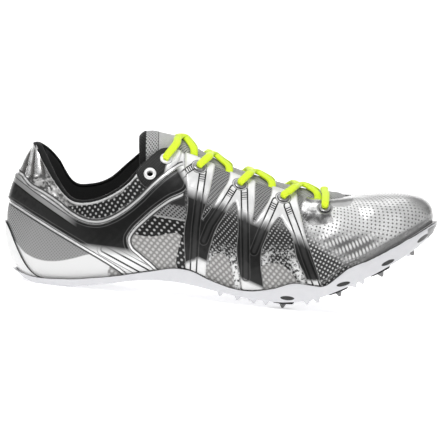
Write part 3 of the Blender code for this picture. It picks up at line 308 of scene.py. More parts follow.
# Black inserts low on the plate's side: x, z in millimetres and slope in degrees.
SIDE_INSERTS = ((186.7, -6.6, -4.0), (223.6, 2.4, 12.0), (253.3, 15.4, 22.0), (277.2, 30.0, 32.0))
# Middle lines of the legs of the film, with the two fine lines along each.
LEGS = (
    ((131.0, 73.9), (128.6, 56.7), (126.5, 38.3), (125.0, 9.2)),
    ((151.1, 63.3), (143.8, 52.1), (135.9, 40.2), (131.9, 30.3)),
    ((158.3, 62.0), (159.0, 38.3), (159.6, 6.6)),
    ((178.8, 54.8), (170.2, 36.9), (164.9, 23.7)),
    ((186.7, 52.1), (193.3, 35.6), (199.2, 18.5), (206.5, 0.0)),
)
STRAP_LEGS = (
    ((124.4, 77.8), (114.1, 69.9), (106.2, 64.7)),
    ((66.0, 24.5), (94.3, 9.2), (101.0, 4.0)),
)
# Creases: two ends seen from the side, half width and height in millimetres. A negative height is a trough.
Crease = namedtuple("Crease", "x1 z1 x2 z2 width height")
CREASES = (
    Crease(17.0, 93.0, 8.0, 71.2, 1.3, 0.55),
    Crease(18.0, 92.0, 11.2, 71.2, 1.1, -0.75),
    Crease(18.8, 91.0, 14.5, 71.2, 1.2, 0.80),
    Crease(19.6, 91.0, 17.8, 71.2, 1.0, -0.75),
    Crease(20.8, 91.0, 21.8, 71.9, 1.4, 0.80),
    Crease(22.3, 90.4, 25.7, 72.6, 1.0, -0.60),
    Crease(9.6, 79.4, 16.5, 77.8, 0.8, -0.60),
    Crease(15.8, 69.3, 23.7, 71.2, 0.9, -0.55),
    Crease(19.8, 66.0, 28.4, 69.3, 0.9, 0.50),
    Crease(23.7, 62.7, 31.7, 66.6, 0.9, -0.45),
    Crease(27.7, 59.4, 35.0, 63.3, 0.8, 0.45),
    Crease(31.7, 56.7, 37.6, 60.0, 0.8, -0.40),
    Crease(17.2, 72.6, 21.8, 66.0, 0.8, 0.35),
    Crease(25.1, 71.2, 31.0, 63.3, 0.8, -0.35),
    Crease(30.3, 66.0, 38.3, 54.1, 0.8, 0.30),
    Crease(214.0, 50.0, 207.0, 30.0, 4.5, -0.35),
    Crease(225.0, 54.0, 221.0, 34.0, 4.5, 0.25),
    Crease(236.0, 56.0, 234.0, 36.0, 4.5, -0.20),
)
UP = Vector((0, 0, 1))


def spline(knots, values, at, period=None):
    """A smooth curve through values at knots, read at the places given. With a period the curve is closed."""
    knots = np.asarray(knots, float)
    values = np.asarray(values, float)
    at = np.asarray(at, float)
    if period:
        at = np.mod(at, period)
        knots = np.concatenate([knots[-2:] - period, knots, knots[:2] + period])
        values = np.concatenate([values[-2:], values, values[:2]])
    widths = np.diff(knots)
    slopes = np.diff(values) / widths
    inner = (slopes[:-1] * widths[1:] + slopes[1:] * widths[:-1]) / (widths[:-1] + widths[1:])
    tangents = np.concatenate([slopes[:1], inner, slopes[-1:]])
    i = np.clip(np.searchsorted(knots, at, side="right") - 1, 0, len(widths) - 1)
    h = widths[i]
    t = (at - knots[i]) / h
    start = values[i] * (1 + 2 * t) * (1 - t) ** 2 + tangents[i] * h * t * (1 - t) ** 2
    end = values[i + 1] * t * t * (3 - 2 * t) + tangents[i + 1] * h * t * t * (t - 1)
    return start + end


def sole_bottom(x):
    rows = np.array(SOLE_BOTTOM)
    return spline(rows[:, 0] * LENGTH, rows[:, 1] * TOE_SPRING, np.clip(x, 0, LENGTH))


def rim_above_bottom(x):
    rows = np.array(RIM_WAVE)
    return spline(rows[:, 0] * LENGTH, rows[:, 1] * RIM_HEIGHT, np.clip(x, 0, LENGTH))


HEEL_REST_X = 0.105 * LENGTH
HEEL_REST_Z = float(sole_bottom(HEEL_REST_X)) + HEEL_FLAT_DEPTH
SPIKE_DEPTH = PAD_GAP + PAD_WALL + GAP + SPIKE_FLANGE + SPIKE_LENGTH
REAR_SPIKE_X = SPIKES[0][1] * LENGTH
REAR_TIP_Z = float(sole_bottom(REAR_SPIKE_X)) - SPIKE_DEPTH
FLOOR_SLOPE = (REAR_TIP_Z - HEEL_REST_Z) / (REAR_SPIKE_X - HEEL_REST_X)
STANCE = math.atan(FLOOR_SLOPE)
TURN = Matrix.Rotation(STANCE, 4, "Y")
STAND = Matrix.Translation(-(TURN @ Vector((HEEL_REST_X, 0, HEEL_REST_Z)))) @ TURN


def stood(points):
    """Points of the level last, with the toe drawn out a little, moved onto the floor."""
    points = np.array(points, float)
    reach = np.clip((points[:, 0] - TOE_REACH_FROM) / (LENGTH - TOE_REACH_FROM), 0, 1)
    points[:, 0] += TOE_REACH * reach ** 2
    turn = np.array(STAND)
    return points @ turn[:3, :3].T + turn[:3, 3]


def underside(x):
    x = np.asarray(x, float)
    return np.maximum(sole_bottom(x), HEEL_REST_Z + FLOOR_SLOPE * (x - HEEL_REST_X))


def midsole_base(x):
    return sole_bottom(x) + OUTSOLE_WALL + GAP


def ledge_height(x):
    return midsole_base(x) + MIDSOLE_LEDGE


def outsole_floor(x):
    return sole_bottom(x) + OUTSOLE_WALL


def footbed(x):
    heel = np.clip((0.62 * LENGTH - x) / (0.35 * LENGTH), 0, 1)
    return (
        midsole_base(x) + MIDSOLE_FOREFOOT
        + (MIDSOLE_HEEL - MIDSOLE_FOREFOOT) * heel * heel * (3 - 2 * heel)
    )


def closed_ring(lateral, medial):
    return np.array(list(lateral) + list(medial)[-2:0:-1])


def section_columns():
    foot_x = [s.x_foot * LENGTH for s in SECTIONS]
    top_x = [s.x_top * LENGTH for s in SECTIONS]
    columns = {"foot_x": closed_ring(foot_x, foot_x), "top_x": closed_ring(top_x, top_x)}
    sized = (("foot_y", "y_foot", "width"), ("top_y", "y_top", "width"), ("top_z", "z_top", "height"))
    for name, field, size in sized:
        sides = [[getattr(s, field)[side] * getattr(s, size) for s in SECTIONS] for side in (0, 1)]
        columns[name] = closed_ring(*sides)
    for field in Bow._fields:
        one_side = [getattr(b, field) for b in BOWS]
        columns[field] = closed_ring(one_side, one_side)
    return columns


def section_places():
    steps = [0.0]
    for a, b in zip(SECTIONS, SECTIONS[1:]):
        lengths = []
        for field_x, field_y in (("x_foot", "y_foot"), ("x_top", "y_top")):
            dx = (getattr(b, field_x) - getattr(a, field_x)) * LENGTH
            dy = getattr(b, field_y)[0] * b.width - getattr(a, field_y)[0] * a.width
            lengths.append(math.hypot(dx, dy))
        steps.append(steps[-1] + 0.7 * lengths[0] + 0.3 * lengths[1])
    return np.array(steps) / steps[-1]


COLUMNS = section_columns()
PLACES = section_places()
RING_KNOTS = np.concatenate([PLACES, 2 - PLACES[-2:0:-1]])
ANKLE = float(PLACES[[s.name for s in SECTIONS].index("ankle")])


def column(name, u):
    return spline(RING_KNOTS, COLUMNS[name], u, period=2.0)


def outward(u):
    dx = column("foot_x", u + WALL_STEP) - column("foot_x", u - WALL_STEP)
    dy = column("foot_y", u + WALL_STEP) - column("foot_y", u - WALL_STEP)
    length = np.hypot(dx, dy)
    return dy / length, -dx / length


def wall(u, t):
    """Points of the upper's outer face at u round the ring and t up the wall."""
    u, t = np.broadcast_arrays(np.asarray(u, float), np.asarray(t, float))
    foot_x, foot_y = column("foot_x", u), column("foot_y", u)
    top_x, top_y, top_z = column("top_x", u), column("top_y", u), column("top_z", u)
    foot_z = ledge_height(foot_x) + GAP
    tall = top_z - foot_z
    out_x, out_y = outward(u)
    low, high = column("low", u) * BALL_WIDTH, column("high", u) * BALL_WIDTH
    handles = (
        (foot_x, foot_y, foot_z),
        (foot_x + low * out_x, foot_y + low * out_y, foot_z + column("rise", u) * tall),
        (top_x + high * out_x, top_y + high * out_y, top_z - column("drop", u) * tall),
        (top_x, top_y, top_z),
    )
    shares = ((1 - t) ** 3, 3 * t * (1 - t) ** 2, 3 * t * t * (1 - t), t ** 3)
    return np.stack([sum(w * h[k] for w, h in zip(shares, handles)) for k in range(3)], axis=-1)


def wall_normal(u, t):
    u = np.asarray(u, float)
    t = np.clip(np.asarray(t, float), WALL_STEP, 1 - WALL_STEP)
    along = wall(u + WALL_STEP, t) - wall(u - WALL_STEP, t)
    up = wall(u, t + WALL_STEP) - wall(u, t - WALL_STEP)
    cross = np.cross(along, up)
    return cross / np.linalg.norm(cross, axis=-1, keepdims=True)


def shell_point(u, t, offset):
    return wall(u, t) + wall_normal(u, t) * np.asarray(offset, float)[..., None]


def wall_at_height(u, z):
    low, high = np.zeros_like(u), np.ones_like(u)
    for _ in range(26):
        middle = (low + high) / 2
        below = wall(u, middle)[..., 2] < z
        low, high = np.where(below, middle, low), np.where(below, high, middle)
    return low


def ring_places(steps):
    even = np.arange(2 * steps) / steps
    return even - END_DENSITY * np.sin(2 * math.pi * even) / (2 * math.pi)


def level_out(points, u, distance):
    out_x, out_y = outward(u)
    moved = np.array(points, float)
    moved[:, 0] += out_x * distance
    moved[:, 1] += out_y * distance
    return moved


def on_field(points, field, above=0.0):
    moved = np.array(points, float)
    moved[:, 2] = field(moved[:, 0]) + above
    return moved


def padding(u, t):
    side = np.minimum(np.mod(u, 2), 2 - np.mod(u, 2))
    along = np.clip((ANKLE - side) / (0.25 * ANKLE), 0, 1) ** 0.5
    return COLLAR_PADDING * along * np.clip((t - 0.35) / 0.35, 0, 1)


def heel_share(u):
    half_ring = LENGTH + 0.5 * BALL_WIDTH
    away = np.clip(np.minimum(u, 2 - u) * half_ring / KICK_REACH, 0, 1)
    return np.cos(away * math.pi / 2) ** KICK_FALL


def lip_wall(u):
    return LIP_WALL + KICK_WALL * heel_share(u)


def rim_height(u):
    x = column("foot_x", u)
    return sole_bottom(x) + rim_above_bottom(x)


def kick_height(u):
    side = rim_height(u) - GAP
    return side + np.maximum(KICK_HEIGHT - side, 0) * heel_share(u) ** KICK_HOLLOW


def beside_face(u, t, distance):
    normal = wall_normal(u, t)
    level = np.maximum(np.hypot(normal[:, 0], normal[:, 1]), 0.6)
    return level_out(wall(u, t), u, distance / level)


def slope_angle(x):
    step = 0.002
    return math.atan((float(sole_bottom(x + step)) - float(sole_bottom(x - step))) / (2 * step))


def along_at(x, side):
    low, high = 0.0, 1.0
    for _ in range(30):
        middle = (low + high) / 2
        if column("foot_x", np.array([middle]))[0] < x:
            low = middle
        else:
            high = middle
    return low if side > 0 else 2 - low


def ease(value):
    value = np.clip(value, 0, 1)
    return value * value * (3 - 2 * value)


# Side view fields
def smooth_outline(corners, steps=5):
    """A closed outline, rounded through its corners."""
    corners = np.asarray(corners, float)
    lengths = np.hypot(*np.diff(np.vstack([corners, corners[:1]]), axis=0).T)
    knots = np.concatenate([[0.0], np.cumsum(lengths)])
    places = np.concatenate([k + np.arange(steps) / steps * (n - k) for k, n in zip(knots, knots[1:])])
    return np.stack([spline(knots[:-1], corners[:, k], places, period=knots[-1]) for k in (0, 1)], axis=-1)


def segment_distance(x, z, a, b):
    ax, az = a
    bx, bz = b
    dx, dz = bx - ax, bz - az
    along = np.clip(((x - ax) * dx + (z - az) * dz) / max(dx * dx + dz * dz, 1e-12), 0, 1)
    return np.hypot(x - ax - along * dx, z - az - along * dz), along


def inside_distance(x, z, outline):
    """Distance to an outline, positive inside."""
    nearest = np.full(np.shape(x), 1e9)
    inside = np.zeros(np.shape(x), bool)
    for a, b in zip(outline, np.roll(outline, -1, axis=0)):
        nearest = np.minimum(nearest, segment_distance(x, z, a, b)[0])
        spans = (a[1] > z) != (b[1] > z)
        if np.any(spans):
            cross = a[0] + (z - a[1]) / (b[1] - a[1] + 1e-12) * (b[0] - a[0])
            inside ^= spans & (x < cross)
    return np.where(inside, nearest, -nearest)


def line_distance(x, z, lines):
    """Distance to the nearest of some lines, and how far along that line from its start."""
    nearest = np.full(np.shape(x), 1e9)
    place = np.zeros(np.shape(x))
    for line in lines:
        start = 0.0
        for a, b in zip(line, line[1:]):
            distance, share = segment_distance(x, z, a, b)
            length = math.hypot(b[0] - a[0], b[1] - a[1])
            closer = distance < nearest
            place = np.where(closer, start + share * length, place)
            nearest = np.minimum(nearest, distance)
            start += length
    return nearest, place


def relief(points):
    """How far creases lift or sink the surface."""
    x, z = points[..., 0] / MM, points[..., 2] / MM
    height = np.zeros(x.shape)
    for c in CREASES:
        distance, _ = segment_distance(x, z, (c.x1, c.z1), (c.x2, c.z2))
        height += c.height * np.exp(-(distance / c.width) ** 2)
    ripple = 0.05 * np.sin(x * 0.9 + 1.7 * np.sin(z * 0.31)) * np.sin(z * 0.7 + 1.3 * np.sin(x * 0.23))
    return (height + ripple) * MM


ARC_U = np.linspace(0, 2, 401)
ARC_T = np.linspace(0, 1, 61)


def arc_tables():
    ring = wall(ARC_U, np.full_like(ARC_U, 0.35))
    around = np.concatenate([[0.0], np.cumsum(np.linalg.norm(np.diff(ring, axis=0), axis=1))])
    grid = wall(ARC_U[:, None], ARC_T[None, :])
    up = np.cumsum(np.linalg.norm(np.diff(grid, axis=1), axis=2), axis=1)
    return around, np.concatenate([np.zeros((len(ARC_U), 1)), up], axis=1)


ARC_AROUND, ARC_UP = arc_tables()


def arc_up(u, t):
    """Arc length up the wall, read from the table."""
    place = np.mod(u, 2) / (ARC_U[1] - ARC_U[0])
    rise = np.clip(t, 0, 1) / (ARC_T[1] - ARC_T[0])
    i = np.clip(place.astype(int), 0, len(ARC_U) - 2)
    j = np.clip(rise.astype(int), 0, len(ARC_T) - 2)
    a, b = place - i, rise - j
    low = ARC_UP[i, j] * (1 - b) + ARC_UP[i, j + 1] * b
    high = ARC_UP[i + 1, j] * (1 - b) + ARC_UP[i + 1, j + 1] * b
    return low * (1 - a) + high * a


def arc_around(u):
    total = ARC_AROUND[-1]
    return np.interp(np.mod(u, 2), ARC_U, ARC_AROUND) + np.floor(u / 2) * total


# Mesh making
def placed(name, data):
    made = bpy.data.objects.new(name, data)
    bpy.context.scene.collection.objects.link(made)
    return made


def make_mesh(name, points, faces, looks, face_looks=None, uv=None, fields=None, sharp=50):
    mesh = bpy.data.meshes.new(name)
    mesh.from_pydata([tuple(p) for p in stood(points).tolist()], [], faces)
    for look in looks:
        mesh.materials.append(look)
    if face_looks is not None:
        mesh.polygons.foreach_set("material_index", np.asarray(face_looks, np.int32))
    if uv is not None:
        layer = mesh.uv_layers.new(name="Cloth")
        layer.data.foreach_set("uv", np.asarray(uv, np.float32).ravel())
    for key, values in (fields or {}).items():
        made = mesh.attributes.new(key, "FLOAT", "POINT")
        made.data.foreach_set("value", np.asarray(values, np.float32))
    mesh.shade_smooth()
    mesh.set_sharp_from_angle(angle=math.radians(sharp))
    mesh.update()
    return placed(name, mesh)


def settle(piece, slot, *nodes):
    """The piece rides on the shoe and stands for its nodes, whose parts are hidden; the slot is not used."""
    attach(piece, "root")
    if nodes:
        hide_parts(*nodes)
    return piece


def clip_grid(u, t, closed, distance):
    """Faces of a grid where the distance is positive, cut along its zero line. Returns u, t and faces."""
    rows, cols = u.shape
    flat_u, flat_t, flat_d = list(u.ravel()), list(t.ravel()), distance.ravel()
    flat_d = np.where(np.abs(flat_d) < 2e-5, 2e-5, flat_d)
    r = np.arange(rows - 1)[:, None]
    c = np.arange(cols if closed else cols - 1)[None, :]
    a = r * cols + c
    b = r * cols + (c + 1) % cols
    quads = np.stack([a, b, b + cols, a + cols], axis=-1).reshape(-1, 4)
    inside = flat_d[quads] > 0
    count = inside.sum(axis=1)
    faces = quads[count == 4].tolist()
    cuts = {}

    def cut(i, j):
        key = (min(i, j), max(i, j))
        if key not in cuts:
            i, j = key
            share = flat_d[i] / (flat_d[i] - flat_d[j])
            flat_u.append(flat_u[i] + (flat_u[j] - flat_u[i]) * share)
            flat_t.append(flat_t[i] + (flat_t[j] - flat_t[i]) * share)
            cuts[key] = len(flat_u) - 1
        return cuts[key]

    for quad in quads[(count > 0) & (count < 4)].tolist():
        ring = []
        for i, j in zip(quad, quad[1:] + quad[:1]):
            if flat_d[i] > 0:
                ring.append(i)
            if (flat_d[i] > 0) != (flat_d[j] > 0):
                ring.append(cut(i, j))
        if len(ring) >= 3:
            faces.append(ring)
    used = np.unique(np.concatenate([np.array(f) for f in faces]))
    number = -np.ones(len(flat_u), int)
    number[used] = np.arange(len(used))
    faces = [[int(number[i]) for i in f] for f in faces]
    return np.array(flat_u)[used], np.array(flat_t)[used], faces


def patch(name, looks, u, t, closed, distance, top, bottom, fields=None):
    """A closed thin piece on the upper's face: its upper side at the height top, its lower side at bottom."""
    flat_u, flat_t, faces = clip_grid(u, t, closed, distance(wall(u, t), u, t))
    points = wall(flat_u, flat_t)
    normal = wall_normal(flat_u, flat_t)
    away = distance(points, flat_u, flat_t)
    lift = relief(points)
    upper = points + normal * (top(flat_u, flat_t, away) + lift)[:, None]
    lower = points + normal * (bottom(flat_u, flat_t, away) + lift)[:, None]
    count = len(points)
    edges = dict.fromkeys((i, j) for f in faces for i, j in zip(f, f[1:] + f[:1]))
    rim = [(i, j) for i, j in edges if (j, i) not in edges]
    all_faces = faces + [[i + count for i in reversed(f)] for f in faces]
    all_faces += [[j, i, i + count, j + count] for i, j in rim]
    face_looks = [0] * len(faces) + [len(looks) - 1] * len(faces) + [0] * len(rim)
    two_u, two_t = np.tile(flat_u, 2), np.tile(flat_t, 2)
    lengths = np.array([len(f) for f in all_faces])
    corners = np.concatenate([np.array(f) for f in all_faces])
    corner_u = two_u[corners]
    face_of = np.repeat(np.arange(len(all_faces)), lengths)
    spread = np.zeros(len(all_faces))
    np.maximum.at(spread, face_of, corner_u)
    corner_u = np.where(closed & (spread[face_of] - corner_u > 1), corner_u + 2, corner_u)
    uv = np.stack([arc_around(corner_u), arc_up(two_u[corners], two_t[corners])], axis=-1) / MM
    held = {key: np.tile(field(points, flat_u, flat_t, away), 2) for key, field in (fields or {}).items()}
    return make_mesh(name, np.concatenate([upper, lower]), all_faces, looks, face_looks, uv, held)


def ring_faces(count, rings):
    faces = []
    for r in range(rings - 1):
        a, b = r * count, (r + 1) * count
        for i in range(count):
            j = (i + 1) % count
            faces.append((a + i, a + j, b + j, b + i))
    return faces


def ladder_faces(count, first, flip=False):
    faces = [(first, first + 1, first + count - 1)]
    for i in range(1, count // 2 - 1):
        faces.append((first + i, first + i + 1, first + count - i - 1, first + count - i))
    faces.append((first + count // 2 - 1, first + count // 2, first + count // 2 + 1))
    return [tuple(reversed(f)) for f in faces] if flip else faces


def ring_solid(name, rings, looks, fields=None, sharp=40):
    count = len(rings[0])
    faces = ring_faces(count, len(rings))
    faces += ladder_faces(count, 0, flip=True) + ladder_faces(count, (len(rings) - 1) * count)
    made = make_mesh(name, np.concatenate(rings), faces, looks, fields=fields, sharp=sharp)
    turned_out(made)
    return made


def turned_out(piece):
    shaped = bmesh.new()
    shaped.from_mesh(piece.data)
    bmesh.ops.recalc_face_normals(shaped, faces=shaped.faces)
    shaped.to_mesh(piece.data)
    shaped.free()


def unite(target, other):
    modifier = target.modifiers.new("union", "BOOLEAN")
    modifier.operation = "UNION"
    modifier.object = other
    modifier.solver = "EXACT"
    bpy.context.view_layer.update()
    graph = bpy.context.evaluated_depsgraph_get()
    result = bpy.data.meshes.new_from_object(target.evaluated_get(graph))
    target.modifiers.clear()
    target.data = result
    bpy.data.objects.remove(other)


def frame_matrix(at, along, out):
    across = out.cross(along)
    return Matrix.Translation(at) @ Matrix((along, across, out)).transposed().to_4x4()


def frame_at(u, t):
    out = Vector(wall_normal([u], [t])[0])
    along = Vector((1, 0, 0))
    along = (along - out * along.dot(out)).normalized()
    return frame_matrix(Vector(wall([u], [t])[0]), along, out)


def side_frame(x, z, side):
    height = np.array([z])
    low, high = 0.0, 1.0
    for _ in range(30):
        middle = (low + high) / 2
        u = np.array([middle if side > 0 else 2 - middle])
        if wall(u, wall_at_height(u, height))[0][0] < x:
            low = middle
        else:
            high = middle
    return frame_at(float(u[0]), float(wall_at_height(u, height)[0]))


def outwards(frame_here, height):
    return frame_here @ Vector((0, 0, height))


def facing(frame_here):
    return frame_here.to_3x3() @ Vector((0, 0, 1))


FRAMES = {}
for eyelet in EYELETS:
    for side, label in SIDE_NAMES.items():
        FRAMES[eyelet.name, label] = (eyelet, side_frame(eyelet.x * LENGTH, eyelet.z * INSTEP_HEIGHT, side))


def eyelet_seat(eyelet):
    return (2.4 * GAP + OVERLAY_WALL) if eyelet.overlay else 1.4 * GAP


def lace_seat(eyelet):
    return eyelet_seat(eyelet) + EYELET_FLANGE_WALL + 1.4 * GAP + LACE_HALF_THICK


def hole_distance(points):
    """Distance from every eyelet hole's wall, positive outside the holes."""
    nearest = np.full(points.shape[:-1], 1.0)
    for _, place in FRAMES.values():
        at, out = np.array(place.translation), np.array(facing(place))
        offset = points - at
        deep = offset @ out
        radial = np.linalg.norm(offset - deep[..., None] * out, axis=-1) - EYELET_HOLE
        nearest = np.where(np.abs(deep) < HOLE_REACH, np.minimum(nearest, radial), nearest)
    return nearest


# Materials
class Paint:
    """A material with a short way to write its nodes."""

    def __init__(self, name):
        self.material = bpy.data.materials.new(name)
        self.material.use_nodes = True
        self.tree = self.material.node_tree
        self.shader = self.tree.nodes["Principled BSDF"]
        self.bumps = []

    def node(self, kind, **settings):
        made = self.tree.nodes.new(kind)
        for key, value in settings.items():
            setattr(made, key, value)
        return made

    def put(self, socket, value):
        if isinstance(value, bpy.types.NodeSocket):
            self.tree.links.new(value, socket)
        elif isinstance(value, tuple) and len(value) == 3 and len(socket.default_value) == 4:
            socket.default_value = (*value, 1.0)
        else:
            socket.default_value = value

    def math(self, operation, a, b=None, clamp=False):
        made = self.node("ShaderNodeMath", operation=operation, use_clamp=clamp)
        self.put(made.inputs[0], a)
        if b is not None:
            self.put(made.inputs[1], b)
        return made.outputs[0]

    def field(self, name):
        return self.node("ShaderNodeAttribute", attribute_type="GEOMETRY", attribute_name=name).outputs["Fac"]

    def zone(self, name, edge, soft):
        """1 where a field is above the edge, such as inside a printed zone."""
        return self.above(self.field(name), edge, soft)

    def above(self, value, edge, soft):
        """1 where the value is above the edge."""
        scaled = self.math("DIVIDE", self.math("SUBTRACT", value, edge), soft)
        return self.math("ADD", scaled, 0.5, clamp=True)

    def below(self, value, edge, soft):
        return self.math("SUBTRACT", 1.0, self.above(value, edge, soft))

    def band(self, value, low, high, soft):
        return self.math("MULTIPLY", self.above(value, low, soft), self.below(value, high, soft))

    def both(self, *masks):
        result = masks[0]
        for mask in masks[1:]:
            result = self.math("MULTIPLY", result, mask)
        return result

    def either(self, *masks):
        result = masks[0]
        for mask in masks[1:]:
            result = self.math("MAXIMUM", result, mask)
        return result

    def opposite(self, mask):
        return self.math("SUBTRACT", 1.0, mask)

    def mix(self, a, b, share):
        made = self.node("ShaderNodeMix", data_type="RGBA")
        self.put(made.inputs["Factor"], share)
        self.put(made.inputs[6], a)
        self.put(made.inputs[7], b)
        return made.outputs[2]

    def blend(self, a, b, share):
        made = self.node("ShaderNodeMix", data_type="FLOAT")
        self.put(made.inputs[0], share)
        self.put(made.inputs[2], a)
        self.put(made.inputs[3], b)
        return made.outputs[0]

    def cloth(self, turn=0.0, stretch=(1.0, 1.0)):
        """Coordinates in millimetres on the piece's surface, turned and stretched."""
        mapping = self.node("ShaderNodeMapping", vector_type="POINT")
        source = self.node("ShaderNodeUVMap", uv_map="Cloth")
        self.tree.links.new(source.outputs[0], mapping.inputs["Vector"])
        mapping.inputs["Rotation"].default_value = (0, 0, math.radians(turn))
        mapping.inputs["Scale"].default_value = (stretch[0], stretch[1], 1)
        return mapping.outputs[0]

    def space(self, stretch=(1000.0, 1000.0, 1000.0)):
        """Coordinates in millimetres in the shoe's own space."""
        mapping = self.node("ShaderNodeMapping", vector_type="POINT")
        source = self.node("ShaderNodeTexCoord")
        self.tree.links.new(source.outputs["Object"], mapping.inputs["Vector"])
        mapping.inputs["Scale"].default_value = stretch
        return mapping.outputs[0]

    def dots(self, pitch, radius, turn=45.0, soft=0.25, stretch=(1.0, 1.0)):
        """1 inside round dots on a regular grid. Sizes in millimetres."""
        made = self.node("ShaderNodeTexVoronoi", voronoi_dimensions="2D", feature="F1")
        self.put(made.inputs["Vector"], self.cloth(turn, stretch))
        made.inputs["Scale"].default_value = 1.0 / pitch
        made.inputs["Randomness"].default_value = 0.0
        return self.below(made.outputs["Distance"], radius / pitch, soft / pitch)

    def slant(self, value, slope, other):
        """value + slope * other: it stays the same along a slanting line of the side view."""
        return self.math("ADD", value, self.math("MULTIPLY", other, slope))

    def rungs(self, along, turns, edge=0.1):
        """1 on even cross bars along a line. Turns are radians for each millimetre."""
        return self.above(self.math("SINE", self.math("MULTIPLY", along, turns)), edge, 0.5)

    def oval(self, x, z, at_x, at_z, half_long, half_high, tilt):
        """1 inside a tilted oval of the side view."""
        cos, sin = math.cos(math.radians(tilt)), math.sin(math.radians(tilt))
        dx, dz = self.math("SUBTRACT", x, at_x), self.math("SUBTRACT", z, at_z)
        along = self.slant(self.math("MULTIPLY", dx, cos), sin, dz)
        up = self.slant(self.math("MULTIPLY", dz, cos), -sin, dx)
        shares = (self.math("DIVIDE", along, half_long), self.math("DIVIDE", up, half_high))
        squares = [self.math("MULTIPLY", share, share) for share in shares]
        return self.below(self.math("ADD", *squares), 1.0, 0.2)

    def noise(self, scale, detail=3.0, vector=None, roughness=0.55):
        made = self.node("ShaderNodeTexNoise", noise_dimensions="3D")
        self.put(made.inputs["Vector"], vector or self.space())
        made.inputs["Scale"].default_value = scale
        made.inputs["Detail"].default_value = detail
        made.inputs["Roughness"].default_value = roughness
        return made.outputs["Fac"]

    def wave(self, pitch, turn=0.0):
        """Even ridges, from 0 to 1, on the piece's surface."""
        made = self.node("ShaderNodeTexWave", wave_type="BANDS", bands_direction="X", wave_profile="SIN")
        self.put(made.inputs["Vector"], self.cloth(turn))
        made.inputs["Scale"].default_value = 2 * math.pi / pitch / 20.0
        return made.outputs["Fac"]

    def bump(self, height, distance, strength=1.0):
        """Adds relief: height from 0 to 1, its full depth in millimetres."""
        self.bumps.append((height, distance * MM, strength))

    def finish(self, colour, roughness, metallic=0.0, **constants):
        self.put(self.shader.inputs["Base Color"], colour)
        self.put(self.shader.inputs["Roughness"], roughness)
        self.put(self.shader.inputs["Metallic"], metallic)
        for name, value in constants.items():
            self.shader.inputs[name.replace("_", " ")].default_value = value
        normal = None
        for height, distance, strength in self.bumps:
            made = self.node("ShaderNodeBump")
            made.inputs["Distance"].default_value = distance
            made.inputs["Strength"].default_value = strength
            self.put(made.inputs["Height"], height)
            if normal is not None:
                self.tree.links.new(normal, made.inputs["Normal"])
            normal = made.outputs["Normal"]
        if normal is not None:
            self.tree.links.new(normal, self.shader.inputs["Normal"])
        return self.material


def grey(level, warm=0.0):
    """A near grey from a display level between 0 and 1."""
    value = level ** 2.2
    return (value * (1 + warm), value, value * (1 - warm))


class Layers:
    """Colour, metal and roughness, laid over each other by masks."""

    def __init__(self, paint, colour, metal, rough):
        self.paint, self.colour, self.metal, self.rough = paint, colour, metal, rough

    def over(self, mask, colour, metal, rough):
        self.colour = self.paint.mix(self.colour, colour, mask)
        self.metal = self.paint.blend(self.metal, metal, mask)
        self.rough = self.paint.blend(self.rough, rough, mask)


